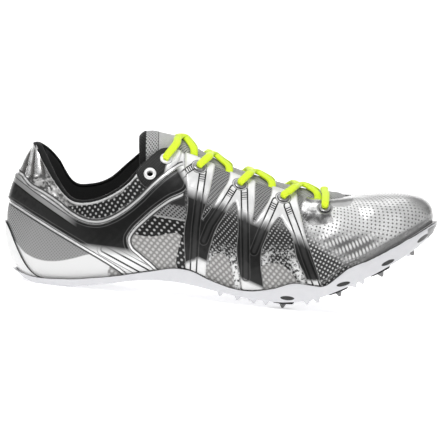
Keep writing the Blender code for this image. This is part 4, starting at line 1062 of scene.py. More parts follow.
def upper_look():
    p = Paint("printed_film_upper")
    x, z, rise, topline = p.field("side_x"), p.field("side_z"), p.field("rise"), p.field("topline")
    cloud = p.noise(0.12, 3.0)
    layers = Layers(p, p.mix(grey(0.80), grey(0.93), cloud), 0.45, 0.34)
    off_tip = p.opposite(p.zone("toe_tip", -1.0, 5.0))
    toe_holes = p.both(p.dots(2.75, 0.56, turn=38), p.above(x, 196.0, 20.0), off_tip)
    weave = p.dots(1.05, 0.30, turn=20)
    layers.over(p.both(weave, p.above(x, 190.0, 10.0)), grey(0.70), 0.4, 0.4)
    layers.over(toe_holes, grey(0.25), 0.0, 0.6)

    # The dark forefoot mesh, which fades into the toe
    chain = p.dots(2.45, 0.62, turn=45)
    rods = p.dots(2.5, 0.78, turn=0, stretch=(1.0, 0.36), soft=0.6)
    fore = p.zone("forefoot_dark", -1.0, 9.0)
    layers.over(fore, p.mix(grey(0.22), grey(0.80), chain), 0.2, 0.45)
    ribbed = p.both(p.band(x, 204.0, 247.0, 12.0), p.below(z, 34.0, 8.0), p.opposite(fore))
    layers.over(ribbed, p.mix(grey(0.40), grey(0.86), rods), 0.35, 0.35)

    # Mesh and dots between the legs of the film
    middle = p.both(p.above(x, 119.0, 2.0), p.below(x, 199.0, 4.0))
    net = p.dots(1.75, 0.55, turn=45)
    layers.over(middle, p.mix(grey(0.52), grey(0.20), net), 0.1, 0.5)
    slanting = p.slant(z, 0.30, x)
    low = p.both(middle, p.below(slanting, 94.0, 7.0))
    layers.over(low, p.mix(grey(0.13), grey(0.62), chain), 0.25, 0.45)
    shade = p.both(middle, p.band(slanting, 80.0, 92.0, 8.0))
    layers.over(p.both(shade, p.opposite(chain)), grey(0.06), 0.1, 0.5)
    speckle = p.above(p.noise(0.55, 3.0), 0.56, 0.10)
    layers.over(p.both(middle, p.below(z, 26.0, 6.0), speckle), grey(0.72), 0.3, 0.4)

    ragged = p.above(p.noise(0.45, 3.0), 0.47, 0.06)
    fringe = p.both(p.band(p.field("web"), -4.5, -0.6, 1.5), p.below(z, 20.0, 8.0), ragged)
    layers.over(p.both(middle, fringe), grey(0.90), 0.3, 0.35)

    # The panel between strap and film
    panel = p.both(p.above(x, 78.0, 2.0), p.below(x, 120.0, 2.0), p.below(z, 66.0, 2.0))
    seam = p.slant(z, 0.17, x)
    wide_net = p.mix(grey(0.50), grey(0.10), p.dots(1.95, 0.66, turn=45))
    bright = p.dots(3.3, 0.70, turn=45, soft=0.7)
    layers.over(panel, p.mix(grey(0.07), grey(0.76), bright), 0.3, 0.4)
    layers.over(p.both(panel, p.above(seam, 64.0, 0.6)), wide_net, 0.1, 0.5)
    layers.over(p.both(panel, p.band(seam, 63.2, 64.2, 0.4)), grey(0.62), 0.2, 0.4)
    layers.over(p.both(panel, p.above(seam, 72.5, 2.0)), grey(0.05), 0.1, 0.5)

    # Pale dotted patches near the sole
    pale = p.dots(3.0, 0.95, turn=45, soft=0.9)
    pale_patch = p.mix(grey(0.52, 0.02), grey(0.76, 0.01), pale)
    for name in ("panel_low", "patch_middle", "patch_front"):
        layers.over(p.zone(name, 0.0, 0.5), pale_patch, 0.15, 0.4)

    # Heel: film with painted highlights and painted shade on its crinkles, dots, halftone and the white below
    # them
    heel = p.below(x, 79.0, 1.5)
    # The heel film's colour is painted highlight and painted shade of crinkled foil: light where noise plus
    # the raised folds is high, grey elsewhere.
    crumple_highlights = p.math("ADD", p.noise(0.42, 3.0), p.math("MULTIPLY", p.field("fold"), 0.40))
    layers.over(heel, p.mix(grey(0.46, 0.01), grey(0.94, 0.01), p.above(crumple_highlights, 0.52, 0.26)), 0.7, 0.24)
    dark_collar = p.dots(3.2, 0.72, turn=40, soft=0.6)
    collar = p.zone("collar_dots", 0.0, 1.6)
    layers.over(collar, p.mix(grey(0.15), grey(0.80), dark_collar), 0.45, 0.32)
    rear_edge = p.below(x, 9.0, 14.0)
    halftone = p.mix(grey(0.56), p.mix(grey(0.46), grey(0.20), rear_edge), p.dots(1.6, 0.45))
    layers.over(p.zone("counter", -1.0, 0.8), halftone, 0.1, 0.5)
    layers.over(p.zone("heel_white", 0.0, 0.7), grey(0.88), 0.0, 0.38)
    layers.over(p.zone("heel_patch", 0.0, 0.7), p.mix(grey(0.55, 0.02), grey(0.80), pale), 0.1, 0.45)
    # Painted highlights on the heel tab's raised creases, painted shade in its troughs.
    fold = p.zone("fold", 0.02, 0.55)
    tab = p.mix(grey(0.50, 0.03), grey(0.97), fold)
    layers.over(p.zone("heel_tab", 0.0, 1.2), tab, 0.75, 0.22)

    # Glossy places at the toe end of the throat and the tip
    silver = p.mix(grey(0.42), grey(0.92), p.above(cloud, 0.5, 0.25))
    layers.over(p.zone("silver_patch", 0.0, 0.8), silver, 0.85, 0.16)
    layers.over(p.zone("throat_front", 0.0, 1.0), p.mix(grey(0.50), grey(0.66), cloud), 0.6, 0.2)
    layers.over(p.zone("toe_tip", -1.0, 6.0), grey(0.58), 0.55, 0.22)

    # Lines and printed rings
    ring = p.both(p.above(x, 200.0, 1.0), p.band(p.field("hole"), 0.9, 2.6, 0.3))
    layers.over(ring, grey(0.50), 0.5, 0.25)
    strap = p.field("strap")
    layers.over(p.both(p.below(x, 118.0, 1.0), p.band(strap, -3.0, -0.2, 0.4)), grey(0.30), 0.4, 0.3)
    layers.over(p.both(p.below(x, 118.0, 1.0), p.band(strap, -1.9, -0.7, 0.4)), grey(0.96), 0.5, 0.25)
    layers.over(p.both(p.band(topline, 1.0, 2.3, 0.5), p.zone("collar", 0.5, 0.1)), grey(0.93), 0.6, 0.25)
    toe = p.above(x, 208.0, 12.0)
    layers.over(p.both(toe, p.band(rise, 1.6, 2.5, 0.4)), grey(0.42), 0.3, 0.3)
    layers.over(p.both(toe, p.band(rise, 3.4, 3.9, 0.4)), grey(0.55), 0.3, 0.3)
    layers.over(p.both(p.above(x, 236.0, 8.0), p.below(rise, 4.8, 2.0)), grey(0.55), 0.4, 0.25)
    glossy = p.either(p.zone("silver_patch", -1.0, 1.0), p.zone("throat_front", -1.0, 1.0))
    p.bump(p.either(p.both(toe_holes, p.opposite(glossy)), p.both(middle, net)), 0.25, 0.6)
    p.bump(cloud, 0.12, 0.4)
    return p.finish(layers.colour, layers.rough, layers.metal, Coat_Weight=0.10, Coat_Roughness=0.12)


def lining_look():
    p = Paint("black_lining_knit")
    knit = p.dots(0.9, 0.34, turn=45, soft=0.3)
    colour = p.mix(grey(0.07), grey(0.14), knit)
    p.bump(knit, 0.18, 0.6)
    p.bump(p.noise(0.25, 3.0), 0.4, 0.4)
    return p.finish(colour, 0.92, Sheen_Weight=0.25, Sheen_Roughness=0.5)


def strap_look():
    p = Paint("dark_strap_film")
    x, z, edge = p.field("side_x"), p.field("side_z"), p.field("edge")
    rear = p.below(x, 40.0, 50.0)
    base = p.mix(grey(0.10), grey(0.20), rear)
    base = p.mix(base, grey(0.16), p.both(p.above(p.noise(0.4, 3.0), 0.55, 0.15), rear))
    layers = Layers(p, base, 0.15, 0.30)
    layers.over(p.below(edge, 2.0, 0.5), grey(0.02), 0.0, 0.3)
    layers.over(p.band(edge, 2.0, 2.6, 0.3), grey(0.30), 0.2, 0.3)
    heel_line = p.slant(z, 0.672, x)
    near_heel = p.below(x, 44.0, 9.0)
    layers.over(p.both(p.above(heel_line, 70.0, 0.5), near_heel), grey(0.02), 0.0, 0.3)
    layers.over(p.both(p.above(heel_line, 71.0, 0.6), near_heel), grey(0.62), 0.40, 0.32)
    layers.over(p.both(p.band(heel_line, 74.4, 75.0, 0.4), near_heel), grey(0.16), 0.1, 0.3)
    layers.over(p.below(edge, 0.4, 0.25), grey(0.62), 0.5, 0.25)
    spine, place = p.field("spine"), p.field("place")
    foot = p.both(p.below(p.slant(z, 0.12, x), 32.0, 6.0), p.above(x, 52.0, 8.0))
    arm = p.above(p.slant(x, 0.6, z), 161.5, 5.0)
    white = p.either(foot, arm)
    layers.over(white, grey(0.94), 0.0, 0.3)
    layers.over(p.both(white, p.band(spine, 1.5, 2.5, 0.25)), grey(0.03), 0.0, 0.3)
    layers.over(p.both(foot, p.band(spine, 4.3, 4.7, 0.25)), grey(0.35), 0.0, 0.3)
    ladder = p.both(arm, p.below(spine, 1.4, 0.25), p.band(place, 1.5, 6.0, 0.3), p.rungs(place, 5.2, 0.15))
    layers.over(ladder, grey(0.05), 0.0, 0.3)
    p.bump(p.noise(0.5, 4.0), 0.10, 0.5)
    p.bump(p.dots(0.8, 0.25, turn=30), 0.05, 0.4)
    return p.finish(layers.colour, layers.rough, layers.metal, Specular_IOR_Level=0.32, Coat_Weight=0.06)


def web_look():
    p = Paint("white_and_black_web_film")
    x, z, edge = p.field("side_x"), p.field("side_z"), p.field("edge")
    spine, place = p.field("spine"), p.field("place")
    layers = Layers(p, p.mix(grey(0.84), grey(0.94), p.noise(0.2, 2.0)), 0.25, 0.26)
    beside = p.math("ABSOLUTE", p.math("SUBTRACT", x, 128.0))
    front_foot = p.both(p.above(x, 190.0, 3.0), p.below(z, 5.0, 2.0))
    feet = p.either(p.below(p.slant(z, 0.45, beside), 19.0, 3.0), front_foot)
    dark = p.both(p.below(p.slant(z, 0.43, x), 114.5, 8.0), p.opposite(feet))
    layers.over(dark, p.mix(grey(0.04), grey(0.12), p.noise(0.35, 3.0)), 0.1, 0.36)
    line = p.band(spine, 1.55, 2.55, 0.3)
    layers.over(p.both(line, p.opposite(dark)), grey(0.06), 0.0, 0.3)
    layers.over(p.both(p.band(spine, 1.6, 2.4, 0.3), dark), grey(0.01), 0.0, 0.3)
    layers.over(p.both(p.below(spine, 1.2, 0.6), dark), grey(0.20), 0.2, 0.3)
    layers.over(p.both(p.band(spine, 2.6, 3.1, 0.3), dark), grey(0.26), 0.2, 0.3)
    layers.over(p.both(p.below(edge, 0.4, 0.25), dark), grey(0.58), 0.3, 0.3)
    hole = p.field("hole")
    layers.over(p.band(hole, 0.8, 2.3, 0.3), grey(0.60), 0.3, 0.3)
    layers.over(p.band(hole, 1.5, 1.8, 0.2), grey(0.88), 0.3, 0.3)
    layers.over(p.band(hole, 2.2, 2.5, 0.2), grey(0.22), 0.2, 0.3)
    hatch = p.both(p.below(spine, 1.6, 0.25), p.band(place, 0.6, 5.6, 0.3), p.rungs(place, 4.8))
    layers.over(hatch, grey(0.06), 0.0, 0.3)

    # The strap's lines, which run on over the film to the second eyelet
    onward = p.math("ADD", p.math("MULTIPLY", x, 0.853), p.math("MULTIPLY", z, 0.522))
    across = p.math("SUBTRACT", p.math("MULTIPLY", z, 0.853), p.math("MULTIPLY", x, 0.522))
    side_lines = p.either(p.band(across, -0.9, -0.2, 0.25), p.band(across, 2.7, 3.4, 0.25))
    layers.over(p.both(p.band(onward, 130.0, 147.0, 0.4), side_lines), grey(0.05), 0.0, 0.3)
    ladder = p.both(p.band(onward, 141.2, 145.8, 0.3), p.band(across, -0.4, 2.9, 0.2), p.rungs(onward, 4.8))
    layers.over(ladder, grey(0.06), 0.0, 0.3)
    p.bump(p.noise(0.6, 3.0), 0.08, 0.4)
    return p.finish(layers.colour, layers.rough, layers.metal, Specular_IOR_Level=0.36, Coat_Weight=0.08)


def tab_look():
    p = Paint("black_ankle_film")
    x, z, edge = p.field("side_x"), p.field("side_z"), p.field("edge")
    dots = p.dots(1.5, 0.35, turn=45)
    layers = Layers(p, p.mix(grey(0.07), grey(0.17), dots), 0.0, 0.5)
    layers.over(p.below(edge, 0.5, 0.25), grey(0.30), 0.1, 0.4)
    layers.over(p.above(p.slant(x, -0.25, z), 87.5, 1.6), grey(0.90), 0.3, 0.28)
    p.bump(dots, 0.10, 0.5)
    p.bump(p.noise(0.6, 3.0), 0.12, 0.4)
    return p.finish(layers.colour, layers.rough, layers.metal, Specular_IOR_Level=0.3)


def binding_look():
    p = Paint("black_binding_tape")
    ribs = p.wave(0.9)
    p.bump(ribs, 0.12, 0.6)
    colour = p.mix(grey(0.03), grey(0.10), ribs)
    return p.finish(colour, 0.75, Specular_IOR_Level=0.25, Sheen_Weight=0.1, Sheen_Roughness=0.4)


def tongue_look():
    p = Paint("grey_tongue_mesh")
    back, across = p.field("back"), p.field("across")
    net = p.dots(1.35, 0.42, turn=45)
    coarse = p.wave(2.4, turn=0)
    base = p.mix(grey(0.72), grey(0.30), net)
    base = p.mix(base, grey(0.50), p.both(coarse, p.band(across, 0.30, 0.44, 0.06)))
    layers = Layers(p, base, 0.0, 0.7)
    layers.over(p.band(back, 15.5, 26.5, 0.5), grey(0.72), 0.1, 0.5)
    seams = p.both(p.band(back, 15.0, 27.0, 0.3), p.opposite(p.band(back, 15.5, 26.5, 0.3)))
    layers.over(seams, grey(0.35), 0.1, 0.5)
    layers.over(p.below(back, 7.0, 0.4), grey(0.04), 0.0, 0.85)
    p.bump(net, 0.3, 0.8)
    p.bump(p.noise(0.15, 2.0), 0.4, 0.4)
    return p.finish(layers.colour, layers.rough, layers.metal, Sheen_Weight=0.15, Sheen_Roughness=0.4)


def lace_look():
    p = Paint("neon_woven_lace")
    one, two = p.wave(0.95, turn=38), p.wave(0.95, turn=-38)
    weave = p.math("MAXIMUM", one, two)
    colour = p.mix((0.62, 0.88, 0.006), (0.80, 1.0, 0.016), weave)
    p.bump(weave, 0.16, 0.8)
    return p.finish(colour, 0.55, Sheen_Weight=0.3, Sheen_Roughness=0.4)


def plain_look(name, colour, other, rough, scale, metal=0.0, depth=0.08, **constants):
    """A moulded or cast finish: two close tones, and fine uneven relief."""
    p = Paint(name)
    cloud = p.noise(scale, 4.0)
    p.bump(cloud, depth, 0.5)
    wear = p.blend(rough - 0.05, rough + 0.06, p.noise(scale * 0.3, 2.0))
    return p.finish(p.mix(colour, other, cloud), wear, metal, **constants)


def outsole_look():
    p = Paint("white_moulded_plate")
    rise = p.field("rise")
    cloud = p.noise(0.18, 4.0)
    colour = p.mix((0.60, 0.60, 0.625), (0.68, 0.68, 0.70), cloud)
    x, z = p.field("side_x"), p.field("side_z")
    for at_x, at_z, tilt in SIDE_INSERTS:
        colour = p.mix(colour, grey(0.03), p.oval(x, z, at_x, at_z, 4.6, 1.4, tilt))
    line = p.both(p.above(rise, -0.30, 0.15), p.blend(0.45, 1.0, p.above(x, 16.0, 10.0)))
    colour = p.mix(colour, grey(0.20), line)
    bumper = p.both(p.above(x, 280.5, 0.8), p.below(rise, -1.2, 0.4))
    colour = p.mix(colour, grey(0.42), bumper)
    p.bump(p.noise(1.6, 3.0), 0.05, 0.5)
    return p.finish(colour, p.blend(0.24, 0.36, cloud), 0.0, Coat_Weight=0.3, Coat_Roughness=0.15)


def foam_look():
    p = Paint("white_heel_foam")
    lip = p.field("rise")
    cells = p.noise(3.0, 3.0)
    heel = p.below(p.field("side_x"), 62.0, 4.0)
    colour = p.mix(grey(0.89), grey(0.93), p.noise(0.2, 3.0))
    colour = p.mix(colour, grey(0.06), p.both(heel, p.above(lip, -0.6, 0.25)))
    colour = p.mix(colour, grey(0.72), p.both(p.opposite(heel), p.above(lip, -0.4, 0.2)))
    p.bump(cells, 0.05, 0.5)
    return p.finish(colour, 0.42, 0.0, Coat_Weight=0.15, Coat_Roughness=0.2)


# Pieces
def side_outline(corners, steps=5):
    """An overlay's outline, in millimetres."""
    return smooth_outline(np.asarray(corners) * (LENGTH / MM, INSTEP_HEIGHT / MM), steps)


def mesh_fields():
    def rise(points, u, t, away):
        return (points[..., 2] - rim_height(u)) / MM

    def topline(points, u, t, away):
        return (arc_up(u, np.ones_like(t)) - arc_up(u, t)) / MM

    def collar(points, u, t, away):
        side = np.minimum(np.mod(u, 2), 2 - np.mod(u, 2))
        return (side < ANKLE * 0.97).astype(float)

    return {
        "side_x": lambda points, u, t, away: points[..., 0] / MM,
        "side_z": lambda points, u, t, away: points[..., 2] / MM,
        "rise": rise,
        "topline": topline,
        "collar": collar,
        # The creases' height, which the upper's paint turns into painted highlights and painted shade on the
        # heel film.
        "fold": lambda points, u, t, away: relief(points) / MM,
    }


def make_upper():
    columns, rows = ((260, 64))
    u = ring_places(columns)
    t = np.linspace(0, 1, rows)
    u_grid, t_grid = np.meshgrid(u, t)
    edge = lambda t: ease((t - 0.985) / 0.015)

    def top(u, t, away):
        return -0.0004 * edge(t)

    def bottom(u, t, away):
        return -UPPER_WALL - padding(u, t) + 0.0004 * edge(t)

    fields = mesh_fields()
    fields["hole"] = lambda points, u, t, away: hole_distance(points) / MM
    outlines = {name: smooth_outline(outline) for name, outline in ZONES.items()}
    outlines["strap"], outlines["web"] = side_outline(HEEL_STRAP), side_outline(EYESTAY_WEB, 2)
    for name, smooth in outlines.items():
        fields[name] = lambda points, u, t, away, smooth=smooth: inside_distance(
            points[..., 0] / MM, points[..., 2] / MM, smooth
        )
    made = patch(
        "upper_shell", [upper_look(), lining_look()], u_grid, t_grid, True,
        lambda points, u, t: hole_distance(points), top, bottom, fields,
    )
    settle(made, "upper", "upper")


def outline_patch(name, look, corners, u_low, u_high, legs, slot, node):
    """One bonded film on the upper's face, inside its outline."""
    columns, rows = ((300, 84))
    u = np.linspace(u_low, u_high, columns)
    start = wall_at_height(np.mod(u, 2), rim_height(np.mod(u, 2)) + 2 * GAP)
    share = np.linspace(0, 1, rows)[:, None]
    t_grid = start[None, :] + (0.999 - start[None, :]) * share
    u_grid = np.tile(u, (rows, 1))
    smooth = smooth_outline(np.asarray(corners) * (LENGTH, INSTEP_HEIGHT), 5)

    def distance(points, u, t):
        inside = inside_distance(points[..., 0], points[..., 2], smooth)
        return np.minimum(inside, hole_distance(points))

    def top(u, t, away):
        edge = np.minimum(away, (1.0 - t) * 0.05 + 0.0002)
        return 0.00035 + (OVERLAY_WALL - 0.00005) * ease(edge / 0.0008)

    def bottom(u, t, away):
        return np.full_like(t, 0.00012)

    fields = mesh_fields()
    fields["hole"] = lambda points, u, t, away: hole_distance(points) / MM
    fields["edge"] = lambda points, u, t, away: inside_distance(points[..., 0], points[..., 2], smooth) / MM
    if legs:
        fields["spine"] = lambda points, u, t, away: line_distance(
            points[..., 0] / MM, points[..., 2] / MM, legs
        )[0]
        fields["place"] = lambda points, u, t, away: line_distance(
            points[..., 0] / MM, points[..., 2] / MM, legs
        )[1]
    made = patch(name, [look], u_grid, t_grid, False, distance, top, bottom, fields)
    settle(made, slot, node)


def make_films():
    outline_patch(
        "heel_strap_film", strap_look(), HEEL_STRAP, -0.47, 0.47, STRAP_LEGS, "heel_strap", "heel_strap",
    )
    web, tab = web_look(), tab_look()
    for label, low, high in (("lateral", 0.36, 0.84), ("medial", 1.16, 1.64)):
        outline_patch(
            "eyestay_film_" + label, web, EYESTAY_WEB, low, high, LEGS, "eyestay_web", "eyestay_web_" + label,
        )
    for label, low, high in (("lateral", 0.22, 0.56), ("medial", 1.44, 1.78)):
        outline_patch(
            "ankle_film_" + label, tab, ANKLE_TAB, low, high, None, "ankle_tab", "ankle_tab_" + label,
        )


def sweep(name, look, path, outs, half_width, half_thick, sides=14, square=2.4):
    """A closed tape along a path. The widths are given at every point."""
    path = np.asarray(path, float)
    way = np.gradient(path, axis=0)
    way /= np.linalg.norm(way, axis=1, keepdims=True)
    angles = 2 * math.pi * np.arange(sides) / sides
    cos, sin = np.cos(angles), np.sin(angles)
    cos = np.sign(cos) * np.abs(cos) ** (2 / square)
    sin = np.sign(sin) * np.abs(sin) ** (2 / square)
    points, last = [], None
    for k in range(len(path)):
        out = outs[k] - way[k] * np.dot(outs[k], way[k])
        out /= np.linalg.norm(out)
        if last is not None and np.dot(out, last) < 0:
            out = -out
        if last is not None:
            out = out * 0.5 + last * 0.5
            out -= way[k] * np.dot(out, way[k])
            out /= np.linalg.norm(out)
        last = out
        side = np.cross(way[k], out)
        for c, s in zip(cos, sin):
            points.append(path[k] + side * c * half_width[k] + out * s * half_thick[k])
    count, rings = sides, len(path)
    faces = ring_faces(count, rings)
    faces += [tuple(reversed(range(count))), tuple(range((rings - 1) * count, rings * count))]
    length = np.concatenate([[0], np.cumsum(np.linalg.norm(np.diff(path, axis=0), axis=1))]) / MM
    around = np.linspace(0, 2 * (np.mean(half_width) + np.mean(half_thick)) * 1.7 / MM, count + 1)
    uv = []
    for r in range(rings - 1):
        for i in range(count):
            uv += [(length[r], around[i]), (length[r], around[i + 1])]
            uv += [(length[r + 1], around[i + 1]), (length[r + 1], around[i])]
    for r in (0, rings - 1):
        uv += [(length[r] + 0.2 * i, 0.3 * i) for i in range(count)]
    made = make_mesh(name, np.array(points), faces, [look], uv=uv)
    turned_out(made)
    return made


def make_bindings():
    """The black piping round the collar's topline, from ankle to ankle round the heel."""
    steps = 260
    u = np.linspace(-ANKLE * 1.02, ANKLE * 1.02, steps)
    ring_u = np.mod(u, 2)
    t = np.ones_like(u)
    outer = shell_point(ring_u, t, np.zeros_like(u))
    inner = shell_point(ring_u, t, -UPPER_WALL - padding(ring_u, t))
    middle = (outer + inner) / 2
    across = outer - inner
    width = np.linalg.norm(across, axis=1) / 2 + PIPING_SPARE
    ends = ease((1 - np.abs(np.linspace(-1, 1, steps))) / 0.02) * 0.9 + 0.1
    outs = np.tile(np.array([0.0, 0.0, 1.0]), (steps, 1))
    middle = middle + np.array([0, 0, 0.0002])
    made = sweep(
        "collar_piping", binding_look(), middle, outs, width * ends, 0.0011 * ends, sides=16, square=2.2,
    )
    settle(made, "upper")


def make_tongue():
    rows = [tongue_section(row) for row in TONGUE_ROWS] + [tongue_end_section(end) for end in TONGUE_END]
    grid = np.array([[tuple(p) for p in row] for row in rows])
    thick = np.array([TONGUE_WALL] * len(TONGUE_ROWS) + [TONGUE_WALL + TONGUE_PADDING] * len(TONGUE_END))
    middle = grid[:, 5]
    knots = np.concatenate([[0], np.cumsum(np.linalg.norm(np.diff(middle, axis=0), axis=1))])
    row_count, column_count = ((130, 61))
    at = np.linspace(0, knots[-1], row_count)
    grid = np.stack([
        np.stack([spline(knots, grid[:, c, k], at) for k in range(3)], axis=-1) for c in range(grid.shape[1])
    ], axis=1)
    thick = np.interp(at, knots, thick)
    places = np.linspace(0, 1, grid.shape[1])
    new_places = np.linspace(0, 1, column_count)
    fine = np.zeros((row_count, column_count, 3))
    for r in range(row_count):
        for k in range(3):
            fine[r, :, k] = spline(places, grid[r, :, k], new_places)
    along, across = np.gradient(fine, axis=0), np.gradient(fine, axis=1)
    normal = np.cross(across, along)
    normal /= np.linalg.norm(normal, axis=-1, keepdims=True)
    if normal[..., 2].mean() < 0:
        normal = -normal
    back = knots[-1] - at
    bulge = 0.0006 * ease((0.0075 - back) / 0.001) - 0.0010 * (1 - np.clip(back / 0.0016, 0, 1)) ** 2
    seam = -0.0003 * np.exp(-((new_places - 0.5) / 0.012) ** 2)
    upper = fine + normal * (bulge[:, None] + seam[None, :])[..., None]
    lower_thick = thick - 0.0016 * (1 - np.clip(back / 0.0016, 0, 1)) ** 2
    lower = fine - normal * lower_thick[:, None, None]
    points = np.concatenate([upper.reshape(-1, 3), lower.reshape(-1, 3)])
    faces, half = [], row_count * column_count
    for r in range(row_count - 1):
        for c in range(column_count - 1):
            a = r * column_count + c
            quad = (a, a + 1, a + column_count + 1, a + column_count)
            faces += [quad, tuple(half + i for i in reversed(quad))]
    border = list(range(column_count)) + [r * column_count + column_count - 1 for r in range(1, row_count)]
    border += [(row_count - 1) * column_count + c for c in range(column_count - 2, -1, -1)]
    border += [r * column_count for r in range(row_count - 2, 0, -1)]
    for a, b in zip(border, border[1:] + border[:1]):
        faces.append((a, b, b + half, a + half))
    width = np.linalg.norm(np.diff(fine, axis=1), axis=2).sum(axis=1).mean() / MM
    u_of = np.tile(new_places * width, (row_count, 1)).ravel()
    v_of = np.tile(at[:, None] / MM, (1, column_count)).ravel()
    table = np.stack([np.tile(u_of, 2), np.tile(v_of, 2)], axis=-1)
    uv = np.concatenate([table[list(f)] for f in faces])
    fields = {
        "back": np.tile(np.tile(back[:, None] / MM, (1, column_count)).ravel(), 2),
        "across": np.tile(np.abs(np.tile(new_places - 0.5, (row_count, 1))).ravel(), 2),
    }
    made = make_mesh("tongue_mesh", points, faces, [tongue_look()], uv=uv, fields=fields)
    turned_out(made)
    settle(made, "tongue", "tongue")


def tongue_section(row):
    heights = np.array([0.80, 0.90, 1.00])
    under = -UPPER_WALL - GAP * np.array([3.0, 3.2, 2.4])
    lateral, medial = [shell_point(np.full(3, u), heights, under) for u in (row.along, 2 - row.along)]
    points = [Vector(p) for p in lateral]
    left, right = Vector(lateral[-1]), Vector(medial[-1])
    rise = row.crown * TONGUE_CROWN + UPPER_WALL
    for share in (0.16, 0.33, 0.50, 0.67, 0.84):
        bow = 1 - (2 * share - 1) ** 2
        points.append(left.lerp(right, share) + Vector((row.forward * bow, 0, rise * bow)))
    return points + [Vector(p) for p in reversed(medial)]


def tongue_end_section(end):
    points = []
    for degrees in (-90, -84, -74, -50, -25, 0, 25, 50, 74, 84, 90):
        angle = math.radians(degrees)
        lift = max(math.cos(angle), 0.0) ** 0.8
        x = end.x_edge + (end.x_middle - end.x_edge) * lift
        z = end.z_edge + (end.z_middle - end.z_edge) * lift
        points.append(Vector((x * LENGTH, math.sin(angle) * end.half_width * BALL_WIDTH, z * INSTEP_HEIGHT)))
    return points


def crown_at(u):
    rows = sorted(TONGUE_ROWS)
    return float(np.interp(u, [r.along for r in rows], [r.crown for r in rows]))


def over_tongue(u, share, lift):
    """A point above the tongue: share runs from the lateral edge of the throat, 0, to the medial, 1."""
    section = tongue_section(TongueRow(u, crown_at(u), 0.0))
    places = (0.0, 0.16, 0.33, 0.50, 0.67, 0.84, 1.0)
    middle = section[2:9]
    point = Vector([float(np.interp(share, places, [p[k] for p in middle])) for k in range(3)])
    lean = (share - 0.5) * 1.2
    return point + Vector((0, math.sin(lean), math.cos(lean))) * lift


def along_of_eyelet(eyelet):
    places = np.linspace(0.38, 0.95, 200)
    return float(places[np.argmin(np.abs(column("top_x", places) - eyelet.x * LENGTH))])


def into_hole(eyelet, place, inward):
    """The lace's way down through an eyelet hole: points, directions of its face, and width and
    thickness shares."""
    seat = lace_seat(eyelet)
    return [
        (outwards(place, seat - 0.0004) + inward * 0.0010, facing(place) + inward, 0.92, 0.95),
        (outwards(place, seat * 0.45) + inward * 0.0002, inward, 0.74, 0.90),
        (outwards(place, -UPPER_WALL * 0.5), inward, 0.72, 0.80),
        (outwards(place, -UPPER_WALL - 0.0008) - inward * 0.0004, inward - facing(place), 0.80, 0.45),
    ]


def strand_points(crossing, side):
    """One strand: out from under one edge of the throat, over the tongue, and down the other
    side's eyelet."""
    eyelet, place = FRAMES[crossing.eyelet, SIDE_NAMES[side]]
    lift = LACE_HALF_THICK + 2 * GAP
    near = 0.34 * side
    hop = 0.0007 if side > 0 else 0.0
    points = []
    for way, lean, spare in ((0.0, near, 0.0), (0.55, 0.45 * near, 0.3), (1.0, 0.0, 0.6)):
        u = crossing.out + (crossing.meet - crossing.out) * way
        points.append((over_tongue(u, 0.5 + lean, lift + spare * LACE_SPARE + hop * spare), UP, 1.0, 1.0))
    edge_u = 0.45 * crossing.meet + 0.55 * along_of_eyelet(eyelet)
    past = 0.5 * (crossing.meet + edge_u)
    points.append((over_tongue(past, 0.5 - 0.65 * near, lift + 0.8 * LACE_SPARE), UP, 1.0, 1.0))
    seat = lace_seat(eyelet)
    edge = frame_at(edge_u if side > 0 else 2 - edge_u, THROAT_EDGE)
    points.append((outwards(edge, seat + LACE_SPARE), facing(edge), 1.0, 1.0))
    between = edge.translation.lerp(place.translation, 0.55)
    points.append((between + facing(place) * (seat + 0.7 * LACE_SPARE), facing(place), 1.0, 1.0))
    inward = (place.translation - edge.translation).normalized()
    points += into_hole(eyelet, place, inward)
    return points


def under_edge(eyelet_name, label, crossing, side):
    """The hidden run from the inner end of a hole to where the next strand comes out."""
    eyelet, place = FRAMES[eyelet_name, label]
    u = crossing.out if label == "lateral" else 2 - crossing.out
    edge = frame_at(u, 0.965)
    deep = -UPPER_WALL - 0.0007
    middle = place.translation.lerp(edge.translation, 0.5) + facing(place) * deep
    return [
        (middle, facing(place), 0.9, 0.35),
        (outwards(edge, deep), facing(edge), 0.95, 0.40),
    ]


def lace_half(first_side):
    """From the middle of the bar, down its eyelet and up the crossings to the top eyelet."""
    label = "lateral" if first_side > 0 else "medial"
    eyelet, place = FRAMES[BAR_EYELET, label]
    u = along_of_eyelet(eyelet)
    height = lace_seat(eyelet) + LACE_SPARE
    lift = LACE_HALF_THICK + 2 * GAP
    share = 0.3 if first_side > 0 else 0.7
    edge = frame_at(u if first_side > 0 else 2 - u, THROAT_EDGE)
    points = [
        (over_tongue(u, 0.5, lift), UP, 1.0, 1.0),
        (over_tongue(u, share, lift), UP, 1.0, 1.0),
        (outwards(edge, height), facing(edge), 1.0, 1.0),
    ]
    inward = (place.translation - edge.translation).normalized()
    points += into_hole(eyelet, place, inward)
    side = first_side
    below = BAR_EYELET
    for crossing in CROSSINGS:
        points += under_edge(below, "lateral" if side > 0 else "medial", crossing, side)
        side = -side
        points += strand_points(crossing, side)
        below = crossing.eyelet
    return points


